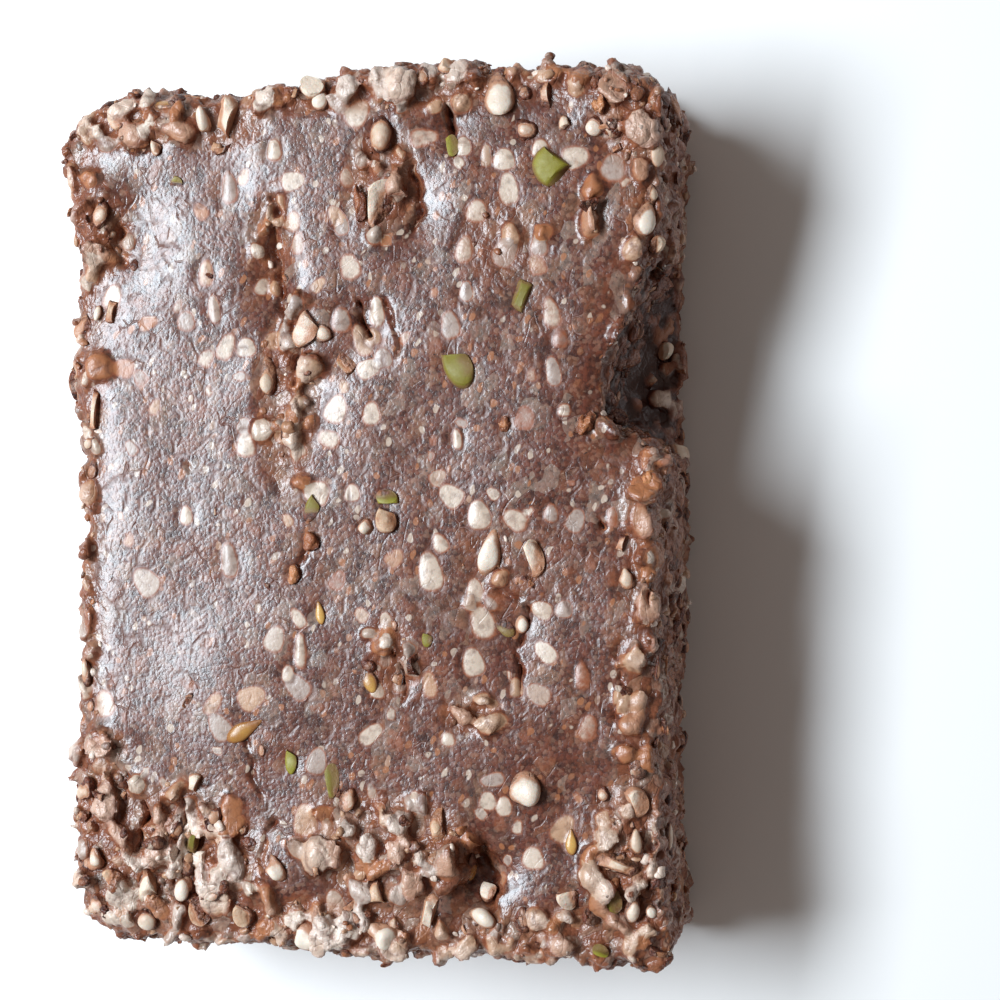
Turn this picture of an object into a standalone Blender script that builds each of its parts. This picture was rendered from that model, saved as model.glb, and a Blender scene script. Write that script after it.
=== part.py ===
"""A bar of raw brownie: pressed date and cocoa dough, full of chopped nuts and seeds.

The bar is one solid that lies flat: +X runs across it, +Y along it and +Z up. The origin is
the middle of its flat underside. The dough starts as a block cut into a fine grid, which is
rounded, pushed into the uneven outline and given its crags. The nuts and seeds that show
from a step away are then fused to it.
"""
import math
import random

import bmesh
import bpy
from mathutils import Matrix, Vector, noise
from mathutils.bvhtree import BVHTree

MM = 0.001

# Driving dimensions, in metres.
WIDTH = 61.4 * MM
LENGTH = 87.6 * MM
HEIGHT = 21.5 * MM
CORNER_RADIUS = 4.2 * MM    # seen from above
EDGE_RADIUS = 1.6 * MM      # where the top turns into the sides
SIDE_SWELL = 0.3 * MM       # how far a side stands out at half its height
FOOT_TUCK = 0.6 * MM        # how far the foot of a side is drawn in
FOOT_SHARE = 0.16           # of the height, over which the foot is drawn in
FLAT_BELOW = 0.25 * MM      # what ends lower than this becomes part of the flat underside
GRID = 0.95 * MM            # cells of the block before it is thinned out
DOUGH_TRIANGLES = 6400      # before the nuts and seeds are fused to it
BAR_TRIANGLES = 11000       # in the end
SEED = 11

# How far each side stands out past the plain block, in mm, read at even steps:
# from -Y to +Y along the left and right sides, from -X to +X along the front and back.
LEFT_OUT = (0.0, 0.6, 1.1, 0.9, 0.3, -0.2, -0.3, -0.2, 0.0, 0.9, 1.0, 0.6, 1.2, 2.4, 0.2)
RIGHT_OUT = (0.6, -0.3, -0.7, -0.6, -0.6, -0.6, -0.5, -0.4, -0.4, -0.7, -0.8, -0.7, -0.6, -0.3, -0.2)
FRONT_OUT = (-0.5, 0.6, 0.8, 0.2, 0.4, 1.2, 0.4, 0.4, 0.7, 1.0, 1.6)
BACK_OUT = (-0.8, 0.0, -0.4, 0.1, 0.6, 1.4, 1.5, 1.5, 1.2, 0.9, 0.4)
OUTLINE_REACH = 9 * MM      # how far behind a side its waves still pull on the top

# The bite where the right top edge has crumbled away: where it starts, is deepest and ends, in mm
# along Y. Its wall stands upright under a sharp edge, down to a sloping ledge.
BITE_BACK = 28.0
BITE_DEEPEST = (9.5, 13.0)
BITE_FRONT = 6.5
BITE_DEPTH = 5.6            # mm, at the top
BITE_SHAPE = 0.85           # below 1, it deepens fast at first
BITE_LEDGE = (3.5, 9.0)     # mm up from the foot, where its slope starts and ends
BITE_UNDERCUT = 0.9         # mm, deepest in the middle of its wall
BITE_REACH = 13 * MM
BITE_EDGE = 0.35            # radius of its top edge, for an edge radius of one

# Lumps and hollows of the top: x, y, reach along x and y, turn in degrees, height; all in mm.
TOP_RELIEF = (
    (-19.5, 41.2, 11.0, 3.2, 4, 1.3),       # crumbly ridge of the back left edge
    (-28.6, 31.6, 3.2, 4.4, 0, 2.0),        # nut lump on the left edge
    (-25.3, 29.8, 3.0, 6.0, 10, -1.7),      # hollow beside it
    (-17.0, 33.0, 8.0, 8.0, 0, -0.7),
    (-9.4, 24.0, 2.0, 10.0, 8, -1.5),       # crease that runs down from the back
    (-6.6, 24.0, 2.2, 11.0, 8, 0.7),
    (-5.0, 12.0, 1.8, 7.0, 20, -0.8),
    (-0.1, 20.3, 1.8, 2.6, -30, -1.9),
    (8.7, 39.8, 1.7, 2.6, 0, -2.2),
    (5.4, 32.2, 2.2, 5.0, -12, -1.9),       # dent beside the date crumb
    (2.6, 32.6, 2.4, 3.8, 0, 1.4),
    (27.6, 40.2, 5.6, 5.6, 20, 1.5),        # crumb on the back right corner
    (24.4, 36.6, 2.0, 4.0, 25, -1.0),
    (14.8, 9.1, 2.0, 2.2, 0, -1.0),
    (29.4, 1.4, 4.0, 5.0, 0, 1.1),          # lumps along the right edge
    (29.2, -10.4, 3.4, 4.4, 0, 0.9),
    (24.8, -2.2, 1.8, 3.4, 10, -0.9),
    (3.8, -16.1, 1.3, 4.4, 6, -1.1),
    (16.0, -13.9, 1.3, 6.4, -8, -1.1),
    (12.0, -36.7, 3.9, 5.2, -15, -4.2),     # deep pit near the front edge
    (8.6, -34.8, 2.6, 4.6, 10, 1.5),
    (3.4, -33.6, 5.4, 5.0, 0, 1.6),         # crumbs in the middle of the front
    (-2.6, -33.0, 3.6, 3.2, 0, 0.8),
    (-26.6, -36.0, 6.4, 8.6, 0, 1.1),       # crumbs on the front left corner
    (-21.9, -32.2, 2.0, 6.4, 0, 1.9),
    (-18.7, -33.4, 1.9, 6.6, 0, -1.6),
    (-28.2, -24.2, 3.2, 2.6, 0, 1.6),
    (-9.8, -37.6, 3.6, 5.6, 20, 0.9),
    (-3.8, -43.0, 4.2, 2.8, 0, 0.9),
    (2.6, -43.2, 4.4, 3.0, 0, 1.0),
    (20.9, -28.2, 4.2, 2.6, 0, -1.1),
    (26.0, -36.4, 3.4, 4.2, 0, 0.9),
)

# Crags of the dough: size and depth of the noise in mm, on the top and on the broken sides.
TOP_NOISE = ((8.0, 0.5), (2.6, 0.3))
SIDE_NOISE = ((8.0, 0.7), (3.2, 0.9))
NOISE_SHIFT = Vector((5, 3, 7))     # so that the sides don't repeat the top
CALM_FOOT = 2.5 * MM                # height over which the crags fade in
RELIEF_FADE = (0.55, 0.95)          # shares of the height between which the top's lumps fade in

# Nuts and seeds placed by hand on the top: x, y, length, width in mm, turn in degrees from +Y.
TOP_PIECES = (
    (-14.4, 41.0, 3.9, 2.7, 10), (1.8, 39.0, 3.3, 2.9, 0), (1.8, 31.4, 4.2, 2.6, 0),
    (-28.3, 31.8, 4.2, 2.4, -20), (-14.2, 33.7, 3.5, 1.8, 5), (-16.6, 24.8, 3.0, 1.8, 0),
    (-6.0, 19.1, 3.6, 2.5, -35), (-1.6, 15.5, 3.0, 2.2, 10), (-10.1, 14.3, 3.5, 2.3, 15),
    (14.1, 42.4, 3.9, 2.6, 15), (27.0, 44.6, 3.2, 2.8, 0), (29.2, 35.8, 4.4, 1.7, -10),
    (19.4, 34.8, 4.2, 3.7, 35), (10.1, 14.8, 4.6, 3.2, 25), (16.5, 22.0, 3.4, 2.3, -10),
    (10.6, 26.8, 3.0, 1.9, 0), (28.6, 29.4, 3.3, 2.2, -15), (23.4, 29.2, 4.4, 2.1, 10),
    (19.5, 20.2, 3.4, 2.0, 20), (22.9, 9.1, 2.8, 2.3, -30), (29.0, 5.4, 3.4, 2.6, 90),
    (13.4, -3.9, 4.1, 2.2, -12), (17.9, -4.2, 4.0, 2.2, 5), (12.1, 0.1, 3.0, 2.5, 0),
    (15.8, -0.4, 2.9, 2.2, 70), (7.1, -5.6, 3.9, 2.5, 15), (12.5, -10.6, 3.8, 2.7, 20),
    (-12.4, 7.4, 2.9, 2.1, 0), (-4.9, 2.3, 3.0, 2.6, -40), (-14.2, -4.6, 3.8, 1.8, 8),
    (-12.6, -22.0, 4.5, 2.0, -58), (10.7, -20.0, 3.6, 2.4, 40), (22.6, -15.8, 3.0, 1.8, 10),
    (23.2, -21.0, 3.3, 2.0, -20), (17.0, -27.0, 3.6, 2.9, 20), (28.2, -28.2, 3.2, 2.3, 10),
    (8.0, -30.9, 3.5, 1.8, 0), (-1.4, -28.7, 2.9, 2.2, -30), (7.0, -40.0, 3.3, 2.2, 0),
    (-23.3, -38.0, 3.5, 1.8, 5), (-17.6, -41.0, 3.0, 2.4, 0), (1.9, -42.5, 3.0, 2.7, 80),
    (25.6, -38.1, 3.0, 2.1, 0), (26.4, -34.5, 3.9, 2.0, 80), (21.4, -37.9, 2.6, 2.3, 40),
)

# The other pieces follow a rule with seeded draws.
TOP_SPACING = 9.0 * MM
TOP_SPREAD = (0.94, 0.96)       # shares of the width and the length that they take up
TOP_JITTER = (0.15, 0.85)       # where in its cell a piece may lie
SIDE_SPACING = 8.5 * MM
SIDE_SPREAD = 0.92
SIDE_LEVELS = (5.5 * MM, 13.5 * MM)
SIDE_JITTER = 0.2               # of a step along the side, each way
LEVEL_JITTER = 2.2 * MM
FREE_LENGTH = (2.4, 3.8)        # mm
FREE_SLIMNESS = (0.6, 0.85)     # width for a length of one
THICKNESS = 0.8                 # for a width of one
TAPER = 0.35                    # how much slimmer an egg's sharp end is than its middle
SUNK = 0.2                      # share of its thickness that a piece's middle lies below the dough
CLEAR = 1.15                    # least distance between pieces, for a length of one
BIG_LENGTH = 3.3                # mm, from which a piece gets finer faces

SHARP_ANGLE = math.radians(50)  # edges that turn more than this are shaded sharp
DOWNWARD = -0.9                 # faces whose normal's z is below this belong to the underside

DOUGH_COLOUR = (0.085, 0.040, 0.028, 1.0)


def clear_scene():
    for old in list(bpy.data.objects):
        bpy.data.objects.remove(old, do_unlink=True)


def new_collection(name):
    collection = bpy.data.collections.new(name)
    bpy.context.scene.collection.children.link(collection)
    return collection


def dough_material():
    material = bpy.data.materials.new("pressed dough")
    material.use_nodes = True
    shader = material.node_tree.nodes["Principled BSDF"]
    shader.inputs["Base Color"].default_value = DOUGH_COLOUR
    shader.inputs["Roughness"].default_value = 0.5
    shader.inputs["Metallic"].default_value = 0.0
    return material


def square_to_round(a, b):
    """Moves a point of a square's quarter onto the quarter disc inside it."""
    if a <= 0 or b <= 0:
        return a, b
    shrink = max(a, b) / math.hypot(a, b)
    return a * shrink, b * shrink


def smooth_step(low, high, value):
    t = min(max((value - low) / (high - low), 0.0), 1.0)
    return t * t * (3 - 2 * t)


def read_along(values, share):
    """Reads evenly spaced values at a share of the way along them, without corners."""
    place = min(max(share, 0.0), 1.0) * (len(values) - 1)
    first = min(int(place), len(values) - 2)
    blend = smooth_step(0, 1, place - first)
    return (values[first] * (1 - blend) + values[first + 1] * blend) * MM


def bump(reach):
    """1 in the middle of a lump, falling to 0 at its edge and beyond."""
    return (1 - min(reach, 1.0) ** 2) ** 2


def gridded_block():
    """The plain block, cut into cells all the way round."""
    mesh = bpy.data.meshes.new("brownie")
    work = bmesh.new()
    bmesh.ops.create_cube(work, size=1.0)
    bmesh.ops.scale(work, vec=(WIDTH, LENGTH, HEIGHT), verts=work.verts)
    bmesh.ops.translate(work, vec=(0, 0, HEIGHT / 2), verts=work.verts)
    starts = (-WIDTH / 2, -LENGTH / 2, 0.0)
    for axis, size in enumerate((WIDTH, LENGTH, HEIGHT)):
        cells = round(size / GRID)
        normal = Vector((0, 0, 0))
        normal[axis] = 1.0
        for step in range(1, cells):
            place = Vector((0, 0, 0))
            place[axis] = starts[axis] + size * step / cells
            everything = list(work.verts) + list(work.edges) + list(work.faces)
            bmesh.ops.bisect_plane(work, geom=everything, plane_co=place, plane_no=normal)
    work.to_mesh(mesh)
    work.free()
    return mesh


def round_plan(x, y):
    """Rounds the block's upright corners."""
    core_x = WIDTH / 2 - CORNER_RADIUS
    core_y = LENGTH / 2 - CORNER_RADIUS
    over_x, over_y = square_to_round(abs(x) - core_x, abs(y) - core_y)
    return math.copysign(core_x + over_x, x), math.copysign(core_y + over_y, y)


def nearest_side(x, y):
    """How far a plan point lies behind the nearest side, and the way out to it."""
    over = Vector((abs(x) - WIDTH / 2 + CORNER_RADIUS, abs(y) - LENGTH / 2 + CORNER_RADIUS))
    if over.x > 0 and over.y > 0:
        way = Vector((math.copysign(over.x, x), math.copysign(over.y, y), 0))
        return CORNER_RADIUS - over.length, way.normalized()
    if WIDTH / 2 - abs(x) < LENGTH / 2 - abs(y):
        return WIDTH / 2 - abs(x), Vector((math.copysign(1, x), 0, 0))
    return LENGTH / 2 - abs(y), Vector((0, math.copysign(1, y), 0))


def bite_share(point):
    """How much of its full depth the bite has at a point's place along the bar."""
    if point.x < 0:
        return 0.0
    y = point.y / MM
    near, far = BITE_DEEPEST
    share = min((BITE_BACK - y) / (BITE_BACK - far), (y - BITE_FRONT) / (near - BITE_FRONT), 1)
    return max(share, 0.0) ** BITE_SHAPE


def round_edge(point):
    """Rounds the top edge, swells the sides and draws in their foot."""
    point.x, point.y = round_plan(point.x, point.y)
    depth, way = nearest_side(point.x, point.y)
    radius = EDGE_RADIUS * (1 - (1 - BITE_EDGE) * min(3 * bite_share(point), 1))
    outward = radius - depth
    upward = point.z - (HEIGHT - radius)
    new_outward, new_upward = square_to_round(outward, upward)
    level = point.z / HEIGHT
    near = bump(max(depth, 0) / OUTLINE_REACH)
    tuck = FOOT_TUCK * (1 - smooth_step(0, FOOT_SHARE, level))
    swell = SIDE_SWELL * (1 - (2 * level - 1) ** 2) - tuck
    shift = way * (new_outward - outward + near * swell)
    shift.z = new_upward - upward
    return point + shift


def push_outline(point):
    """Pulls the four sides into their uneven outline."""
    along_x = point.x / WIDTH + 0.5
    along_y = point.y / LENGTH + 0.5
    reach_x = WIDTH / 2 - abs(point.x)
    reach_y = LENGTH / 2 - abs(point.y)
    side = RIGHT_OUT if point.x > 0 else LEFT_OUT
    end = BACK_OUT if point.y > 0 else FRONT_OUT
    pull_x = bump(max(reach_x, 0) / OUTLINE_REACH) * read_along(side, along_y)
    pull_y = bump(max(reach_y, 0) / OUTLINE_REACH) * read_along(end, along_x)
    return Vector((pull_x * math.copysign(1, point.x), pull_y * math.copysign(1, point.y), 0))


def bite(point):
    """How far the crumbled part of the right side is set back."""
    low, high = BITE_LEDGE
    upper = smooth_step(low * MM, high * MM, point.z)
    wall = (point.z - high * MM) / (HEIGHT - high * MM)
    undercut = BITE_UNDERCUT * bump(abs(2 * wall - 1))
    near = max(1 - max(WIDTH / 2 - point.x, 0) / BITE_REACH, 0)
    back = (BITE_DEPTH * upper + undercut) * MM * bite_share(point) * near
    return Vector((-back, 0, 0))


def top_relief(point):
    """Height of the lumps and hollows at a point of the top."""
    height = 0.0
    for x, y, reach_x, reach_y, turn, rise in TOP_RELIEF:
        away = Vector((point.x / MM - x, point.y / MM - y))
        away.rotate(Matrix.Rotation(-math.radians(turn), 2))
        height += rise * MM * bump(math.hypot(away.x / reach_x, away.y / reach_y))
    return height * smooth_step(*RELIEF_FADE, point.z / HEIGHT)


def crags(point, normal):
    """How far the crumbly surface stands out from the smooth form."""
    upward = max(normal.z, 0)
    rough = 0.0
    for (top_size, top_depth), (side_size, side_depth) in zip(TOP_NOISE, SIDE_NOISE):
        on_top = top_depth * noise.noise(point / (top_size * MM))
        on_side = side_depth * noise.noise(point / (side_size * MM) + NOISE_SHIFT)
        rough += on_top * upward + on_side * (1 - upward)
    return rough * MM * smooth_step(0, CALM_FOOT, point.z)


def shape_dough(mesh):
    work = bmesh.new()
    work.from_mesh(mesh)
    for vert in work.verts:
        vert.co = round_edge(vert.co.copy())
    for vert in work.verts:
        vert.co += push_outline(vert.co) + bite(vert.co)
    for vert in work.verts:
        vert.co.z += top_relief(vert.co)
    work.normal_update()
    moves = [vert.normal * crags(vert.co, vert.normal) for vert in work.verts]
    for vert, move in zip(work.verts, moves):
        if vert.co.z > 0:
            vert.co += move
    work.to_mesh(mesh)
    work.free()


def apply_modifiers(thing):
    """Replaces an object's mesh by what its modifiers make of it."""
    graph = bpy.context.evaluated_depsgraph_get()
    graph.update()
    old = thing.data
    thing.data = bpy.data.meshes.new_from_object(thing.evaluated_get(graph))
    thing.modifiers.clear()
    bpy.data.meshes.remove(old)


def thin_out(thing, triangles):
    """Leaves so many triangles, most of them where the surface turns most."""
    faces = sum(len(face.vertices) - 2 for face in thing.data.polygons)
    thinner = thing.modifiers.new("thin out", "DECIMATE")
    thinner.ratio = triangles / faces
    apply_modifiers(thing)


def flatten_foot(mesh):
    """Makes the underside one flat face again after thinning."""
    for vert in mesh.vertices:
        if vert.co.z < FLAT_BELOW:
            vert.co.z = 0
    work = bmesh.new()
    work.from_mesh(mesh)
    edges = [edge for edge in work.edges if all(vert.co.z == 0 for vert in edge.verts)]
    inner = [edge for edge in edges if all(face.normal.z < DOWNWARD for face in edge.link_faces)]
    bmesh.ops.dissolve_edges(work, edges=inner, use_verts=True)
    work.to_mesh(mesh)
    work.free()


def make_dough(collection):
    mesh = gridded_block()
    shape_dough(mesh)
    dough = bpy.data.objects.new("brownie", mesh)
    collection.objects.link(dough)
    thin_out(dough, DOUGH_TRIANGLES)
    flatten_foot(dough.data)
    return dough


def surface_under(tree, start, way):
    """The point and the outward normal where a straight line first meets the dough."""
    place, normal, _, _ = tree.ray_cast(start, way)
    return place, normal


def add_piece(collection, place, normal, length, width, turn):
    """One nut or seed, half sunk in the dough: an egg shape that lies along the surface."""
    rounds = 2 if length > BIG_LENGTH else 1
    bpy.ops.mesh.primitive_ico_sphere_add(subdivisions=rounds, radius=0.5)
    piece = bpy.context.object
    for old in list(piece.users_collection):
        old.objects.unlink(piece)
    collection.objects.link(piece)
    thick = width * THICKNESS
    for vert in piece.data.vertices:
        taper = 1 - TAPER * vert.co.y
        vert.co = Vector((vert.co.x * width * taper, vert.co.y * length, vert.co.z * thick)) * MM
    spin = Matrix.Rotation(math.radians(turn), 4, "Z")
    lean = Vector((0, 0, 1)).rotation_difference(normal).to_matrix().to_4x4()
    seat = place - normal * SUNK * thick * MM
    piece.data.transform(Matrix.Translation(seat) @ lean @ spin)


def free_size(draw):
    length = draw.uniform(*FREE_LENGTH)
    return length, length * draw.uniform(*FREE_SLIMNESS), draw.uniform(0, 180)


def is_free(place, length, taken):
    return all((place - other).length > CLEAR * MM * (length + size) / 2 for other, size in taken)


def top_places(draw):
    """Evenly spaced places over the top, each moved a little at random."""
    rows = round(LENGTH / TOP_SPACING)
    columns = round(WIDTH / TOP_SPACING)
    for row in range(rows):
        for column in range(columns):
            x = (column + draw.uniform(*TOP_JITTER)) / columns - 0.5
            y = (row + draw.uniform(*TOP_JITTER)) / rows - 0.5
            start = Vector((x * WIDTH * TOP_SPREAD[0], y * LENGTH * TOP_SPREAD[1], 2 * HEIGHT))
            yield start, Vector((0, 0, -1))


def side_places(draw):
    """Places round the sides, in rows one above the other."""
    sides = ((WIDTH, LENGTH, 0), (LENGTH, WIDTH, 90), (WIDTH, LENGTH, 180), (LENGTH, WIDTH, 270))
    for level, height in enumerate(SIDE_LEVELS):
        stagger = 0.25 + 0.5 * (level % 2)
        for run, across, turn in sides:
            steps = round(run / SIDE_SPACING)
            rotation = Matrix.Rotation(math.radians(turn), 3, "Z")
            for step in range(steps):
                x = (step + stagger + draw.uniform(-SIDE_JITTER, SIDE_JITTER)) / steps - 0.5
                z = height + draw.uniform(-LEVEL_JITTER, LEVEL_JITTER)
                start = rotation @ Vector((x * run * SIDE_SPREAD, across, z))
                yield start, rotation @ Vector((0, -1, 0))


def make_pieces(dough, collection):
    tree = BVHTree.FromPolygons([vert.co for vert in dough.data.vertices],
                                [face.vertices for face in dough.data.polygons])
    draw = random.Random(SEED)
    taken = []
    for x, y, length, width, turn in TOP_PIECES:
        start = Vector((x * MM, y * MM, 2 * HEIGHT))
        place, normal = surface_under(tree, start, Vector((0, 0, -1)))
        add_piece(collection, place, normal, length, width, turn)
        taken.append((place, length))
    for start, way in list(top_places(draw)) + list(side_places(draw)):
        length, width, turn = free_size(draw)
        place, normal = surface_under(tree, start, way)
        if place is None or not is_free(place, length, taken):
            continue
        add_piece(collection, place, normal, length, width, turn)
        taken.append((place, length))


def fuse(dough, pieces):
    """Joins the pieces to the dough in one union, then removes them."""
    union = dough.modifiers.new("fuse", "BOOLEAN")
    union.operation = "UNION"
    union.operand_type = "COLLECTION"
    union.collection = pieces
    union.solver = "EXACT"
    apply_modifiers(dough)
    for piece in list(pieces.objects):
        bpy.data.objects.remove(piece, do_unlink=True)


def put_on_origin(mesh):
    """Moves the middle of the bar's box to x = y = 0."""
    middle = Vector((0, 0, 0))
    for axis in (0, 1):
        values = [vert.co[axis] for vert in mesh.vertices]
        middle[axis] = (min(values) + max(values)) / 2
    mesh.transform(Matrix.Translation(-middle))


def main():
    clear_scene()
    parts = new_collection("brownie bar")
    pieces = new_collection("nuts and seeds")
    dough = make_dough(parts)
    make_pieces(dough, pieces)
    fuse(dough, pieces)
    thin_out(dough, BAR_TRIANGLES)
    flatten_foot(dough.data)
    put_on_origin(dough.data)
    dough.data.materials.clear()
    dough.data.materials.append(dough_material())
    dough.data.shade_smooth()
    dough.data.set_sharp_from_angle(angle=SHARP_ANGLE)


main()
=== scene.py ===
import math

import bmesh
import bpy
import numpy as np
from mathutils import Matrix, Vector
from mathutils.bvhtree import BVHTree
from mathutils.kdtree import KDTree


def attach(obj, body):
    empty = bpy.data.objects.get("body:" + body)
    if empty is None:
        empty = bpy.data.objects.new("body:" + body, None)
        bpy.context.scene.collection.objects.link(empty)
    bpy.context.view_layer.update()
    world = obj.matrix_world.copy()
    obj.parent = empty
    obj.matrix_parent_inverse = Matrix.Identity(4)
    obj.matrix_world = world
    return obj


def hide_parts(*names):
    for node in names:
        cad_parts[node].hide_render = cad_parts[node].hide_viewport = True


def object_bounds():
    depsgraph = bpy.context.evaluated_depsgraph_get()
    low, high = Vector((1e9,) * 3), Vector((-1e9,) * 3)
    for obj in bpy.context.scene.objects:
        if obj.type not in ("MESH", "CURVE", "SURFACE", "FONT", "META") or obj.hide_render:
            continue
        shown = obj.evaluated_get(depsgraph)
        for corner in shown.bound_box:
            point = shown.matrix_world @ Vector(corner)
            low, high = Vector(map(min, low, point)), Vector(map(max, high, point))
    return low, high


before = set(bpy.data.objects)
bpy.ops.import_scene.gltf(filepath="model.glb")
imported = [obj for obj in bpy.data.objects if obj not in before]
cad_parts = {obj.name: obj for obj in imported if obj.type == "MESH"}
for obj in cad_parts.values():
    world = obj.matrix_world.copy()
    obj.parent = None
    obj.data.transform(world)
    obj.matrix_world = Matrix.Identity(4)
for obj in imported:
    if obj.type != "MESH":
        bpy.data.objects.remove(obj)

solidBox = [list(corner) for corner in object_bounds()]
mm = 0.001


# the photo's camera: it looks down on the bar and leans a little over its right side
view = {
    "target": (15.34 * mm, 1.5 * mm, 22 * mm),
    "distance": 200 * mm,
    "lean": 12,  # degrees from straight down, towards +X
    "lens": 72,
    "sensor": 36,
    "pixels": 1000,
}


def addThing(name, data):
    thing = bpy.data.objects.new(name, data)
    bpy.context.scene.collection.objects.link(thing)
    return thing


def addCamera():
    lean = math.radians(view["lean"])
    camera = bpy.data.cameras.new("photo camera")
    camera.lens = view["lens"]
    camera.sensor_width = view["sensor"]
    camera.clip_start = 10 * mm
    holder = addThing("photo camera", camera)
    away = Vector((math.sin(lean), 0, math.cos(lean))) * view["distance"]
    holder.location = Vector(view["target"]) + away
    holder.rotation_euler = (0, lean, 0)
    bpy.context.scene.camera = holder
    bpy.context.view_layer.update()
    return holder


def pixelLine(u, v):
    # the line of sight through a pixel of the photo: where it starts and which way it goes
    focal = view["lens"] / view["sensor"] * view["pixels"]
    across = (u - view["pixels"] / 2) / focal
    upward = (view["pixels"] / 2 - v) / focal
    turn = photoCamera.matrix_world.to_3x3()
    return photoCamera.location.copy(), (turn @ Vector((across, upward, -1))).normalized()


light = {
    "windowPlace": (-0.29, 0.05, 0.41),
    "windowSize": (0.36, 0.16),  # across and up
    "windowPower": 4.6,
    "windowColor": (0.80, 0.91, 1.0),
    "roomColor": (1.0, 0.91, 0.85),
    "roomStrength": 0.17,
    "floorColor": (0.92, 0.885, 0.86),
    "floorRoughness": 0.6,
    "floorHalf": 1.6,
}


def addLight():
    lamp = bpy.data.lights.new("window", "AREA")
    lamp.shape = "RECTANGLE"
    lamp.size, lamp.size_y = light["windowSize"]
    lamp.energy = light["windowPower"]
    lamp.color = light["windowColor"]
    window = addThing("window", lamp)
    window.location = light["windowPlace"]
    window.rotation_euler = Vector(light["windowPlace"]).to_track_quat("Z", "Y").to_euler()
    room = bpy.data.worlds.new("room")
    room.use_nodes = True
    room.node_tree.nodes["Background"].inputs["Color"].default_value = (*light["roomColor"], 1)
    room.node_tree.nodes["Background"].inputs["Strength"].default_value = light["roomStrength"]
    bpy.context.scene.world = room
    bpy.context.scene.view_settings.view_transform = "Standard"


def addFloor():
    startFresh()
    bpy.ops.mesh.primitive_plane_add(size=2 * light["floorHalf"], location=(0, 0, -0.1 * mm))
    floor = bpy.context.object
    floor.name = "floor"
    material, shader = newMaterial("pale floor")
    feed(shader, {"Base Color": (*light["floorColor"], 1), "Roughness": light["floorRoughness"]})
    floor.data.materials.append(material)


# small helpers for modelling

def startFresh():
    if bpy.context.object and bpy.context.object.mode != "OBJECT":
        bpy.ops.object.mode_set(mode="OBJECT")
    bpy.ops.object.select_all(action="DESELECT")


def choose(thing):
    startFresh()
    thing.select_set(True)
    bpy.context.view_layer.objects.active = thing


def applyModifier(thing, kind, **settings):
    choose(thing)
    modifier = thing.modifiers.new(kind.lower(), kind)
    for name, value in settings.items():
        setattr(modifier, name, value)
    bpy.ops.object.modifier_apply(modifier=modifier.name)


def editAll(operator, **settings):
    # one edit mode operator on the whole of the chosen object
    bpy.ops.object.mode_set(mode="EDIT")
    bpy.ops.mesh.select_all(action="SELECT")
    operator(**settings)
    bpy.ops.object.mode_set(mode="OBJECT")


def pushOut(thing, kind, size, depth, middle=0.5, where=""):
    # moves the surface in and out after a texture
    texture = bpy.data.textures.new("relief", kind)
    texture.noise_scale = size
    applyModifier(thing, "DISPLACE", texture=texture, strength=depth, mid_level=middle,
                  texture_coords="LOCAL", vertex_group=where)


def joined(first, second):
    choose(first)
    second.select_set(True)
    bpy.ops.object.join()
    return first


def selectThose(chosen):
    # in edit mode: selects the points that the list says yes to
    bpy.ops.mesh.select_mode(type="VERT")
    bpy.ops.mesh.select_all(action="DESELECT")
    mesh = bmesh.from_edit_mesh(bpy.context.object.data)
    for vert, wanted in zip(mesh.verts, chosen):
        vert.select_set(wanted)
    mesh.select_flush(True)
    bmesh.update_edit_mesh(bpy.context.object.data)


def selectPoints(test):
    # in edit mode: selects the points whose place passes the test
    selectThose([test(vert.co) for vert in bmesh.from_edit_mesh(bpy.context.object.data).verts])


def numbersOf(items, name, kind=np.float32):
    # three numbers for each item, a row each
    numbers = np.empty(len(items) * 3, kind)
    items.foreach_get(name, numbers)
    return numbers.reshape(-1, 3)


def pointsOf(mesh):
    return numbersOf(mesh.vertices, "co").astype(np.float64)


def normalsOf(mesh):
    return numbersOf(mesh.vertex_normals, "vector").astype(np.float64)


def trianglesOf(mesh):
    mesh.calc_loop_triangles()
    return numbersOf(mesh.loop_triangles, "vertices", np.int32)


def setPoints(mesh, points):
    mesh.vertices.foreach_set("co", points.astype(np.float32).ravel())
    mesh.update()


def setAttribute(mesh, name, values):
    attribute = mesh.attributes.new(name, "FLOAT", "POINT")
    attribute.data.foreach_set("value", np.asarray(values, np.float32))


def meshFrom(name, points, triangles):
    mesh = bpy.data.meshes.new(name)
    mesh.vertices.add(len(points))
    mesh.loops.add(3 * len(triangles))
    mesh.polygons.add(len(triangles))
    mesh.vertices.foreach_set("co", points.astype(np.float32).ravel())
    mesh.loops.foreach_set("vertex_index", triangles.astype(np.int32).ravel())
    mesh.polygons.foreach_set("loop_start", np.arange(0, 3 * len(triangles), 3, dtype=np.int32))
    mesh.update(calc_edges=True)
    return addThing(name, mesh)


def treeOf(thing):
    return BVHTree.FromPolygons(pointsOf(thing.data).tolist(), trianglesOf(thing.data).tolist())


# shapes that are modelled once and then laid out many times: each is one unit long, wide and thick

def takeShape():
    startFresh()
    thing = bpy.context.object
    shape = {"points": pointsOf(thing.data), "triangles": trianglesOf(thing.data)}
    low, high = shape["points"].min(0), shape["points"].max(0)
    shape["points"] = (shape["points"] - (low + high) / 2) / (high - low)
    bpy.data.objects.remove(thing)
    return shape


def ball(rounds):
    startFresh()
    bpy.ops.mesh.primitive_ico_sphere_add(subdivisions=rounds, radius=0.5)


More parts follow.
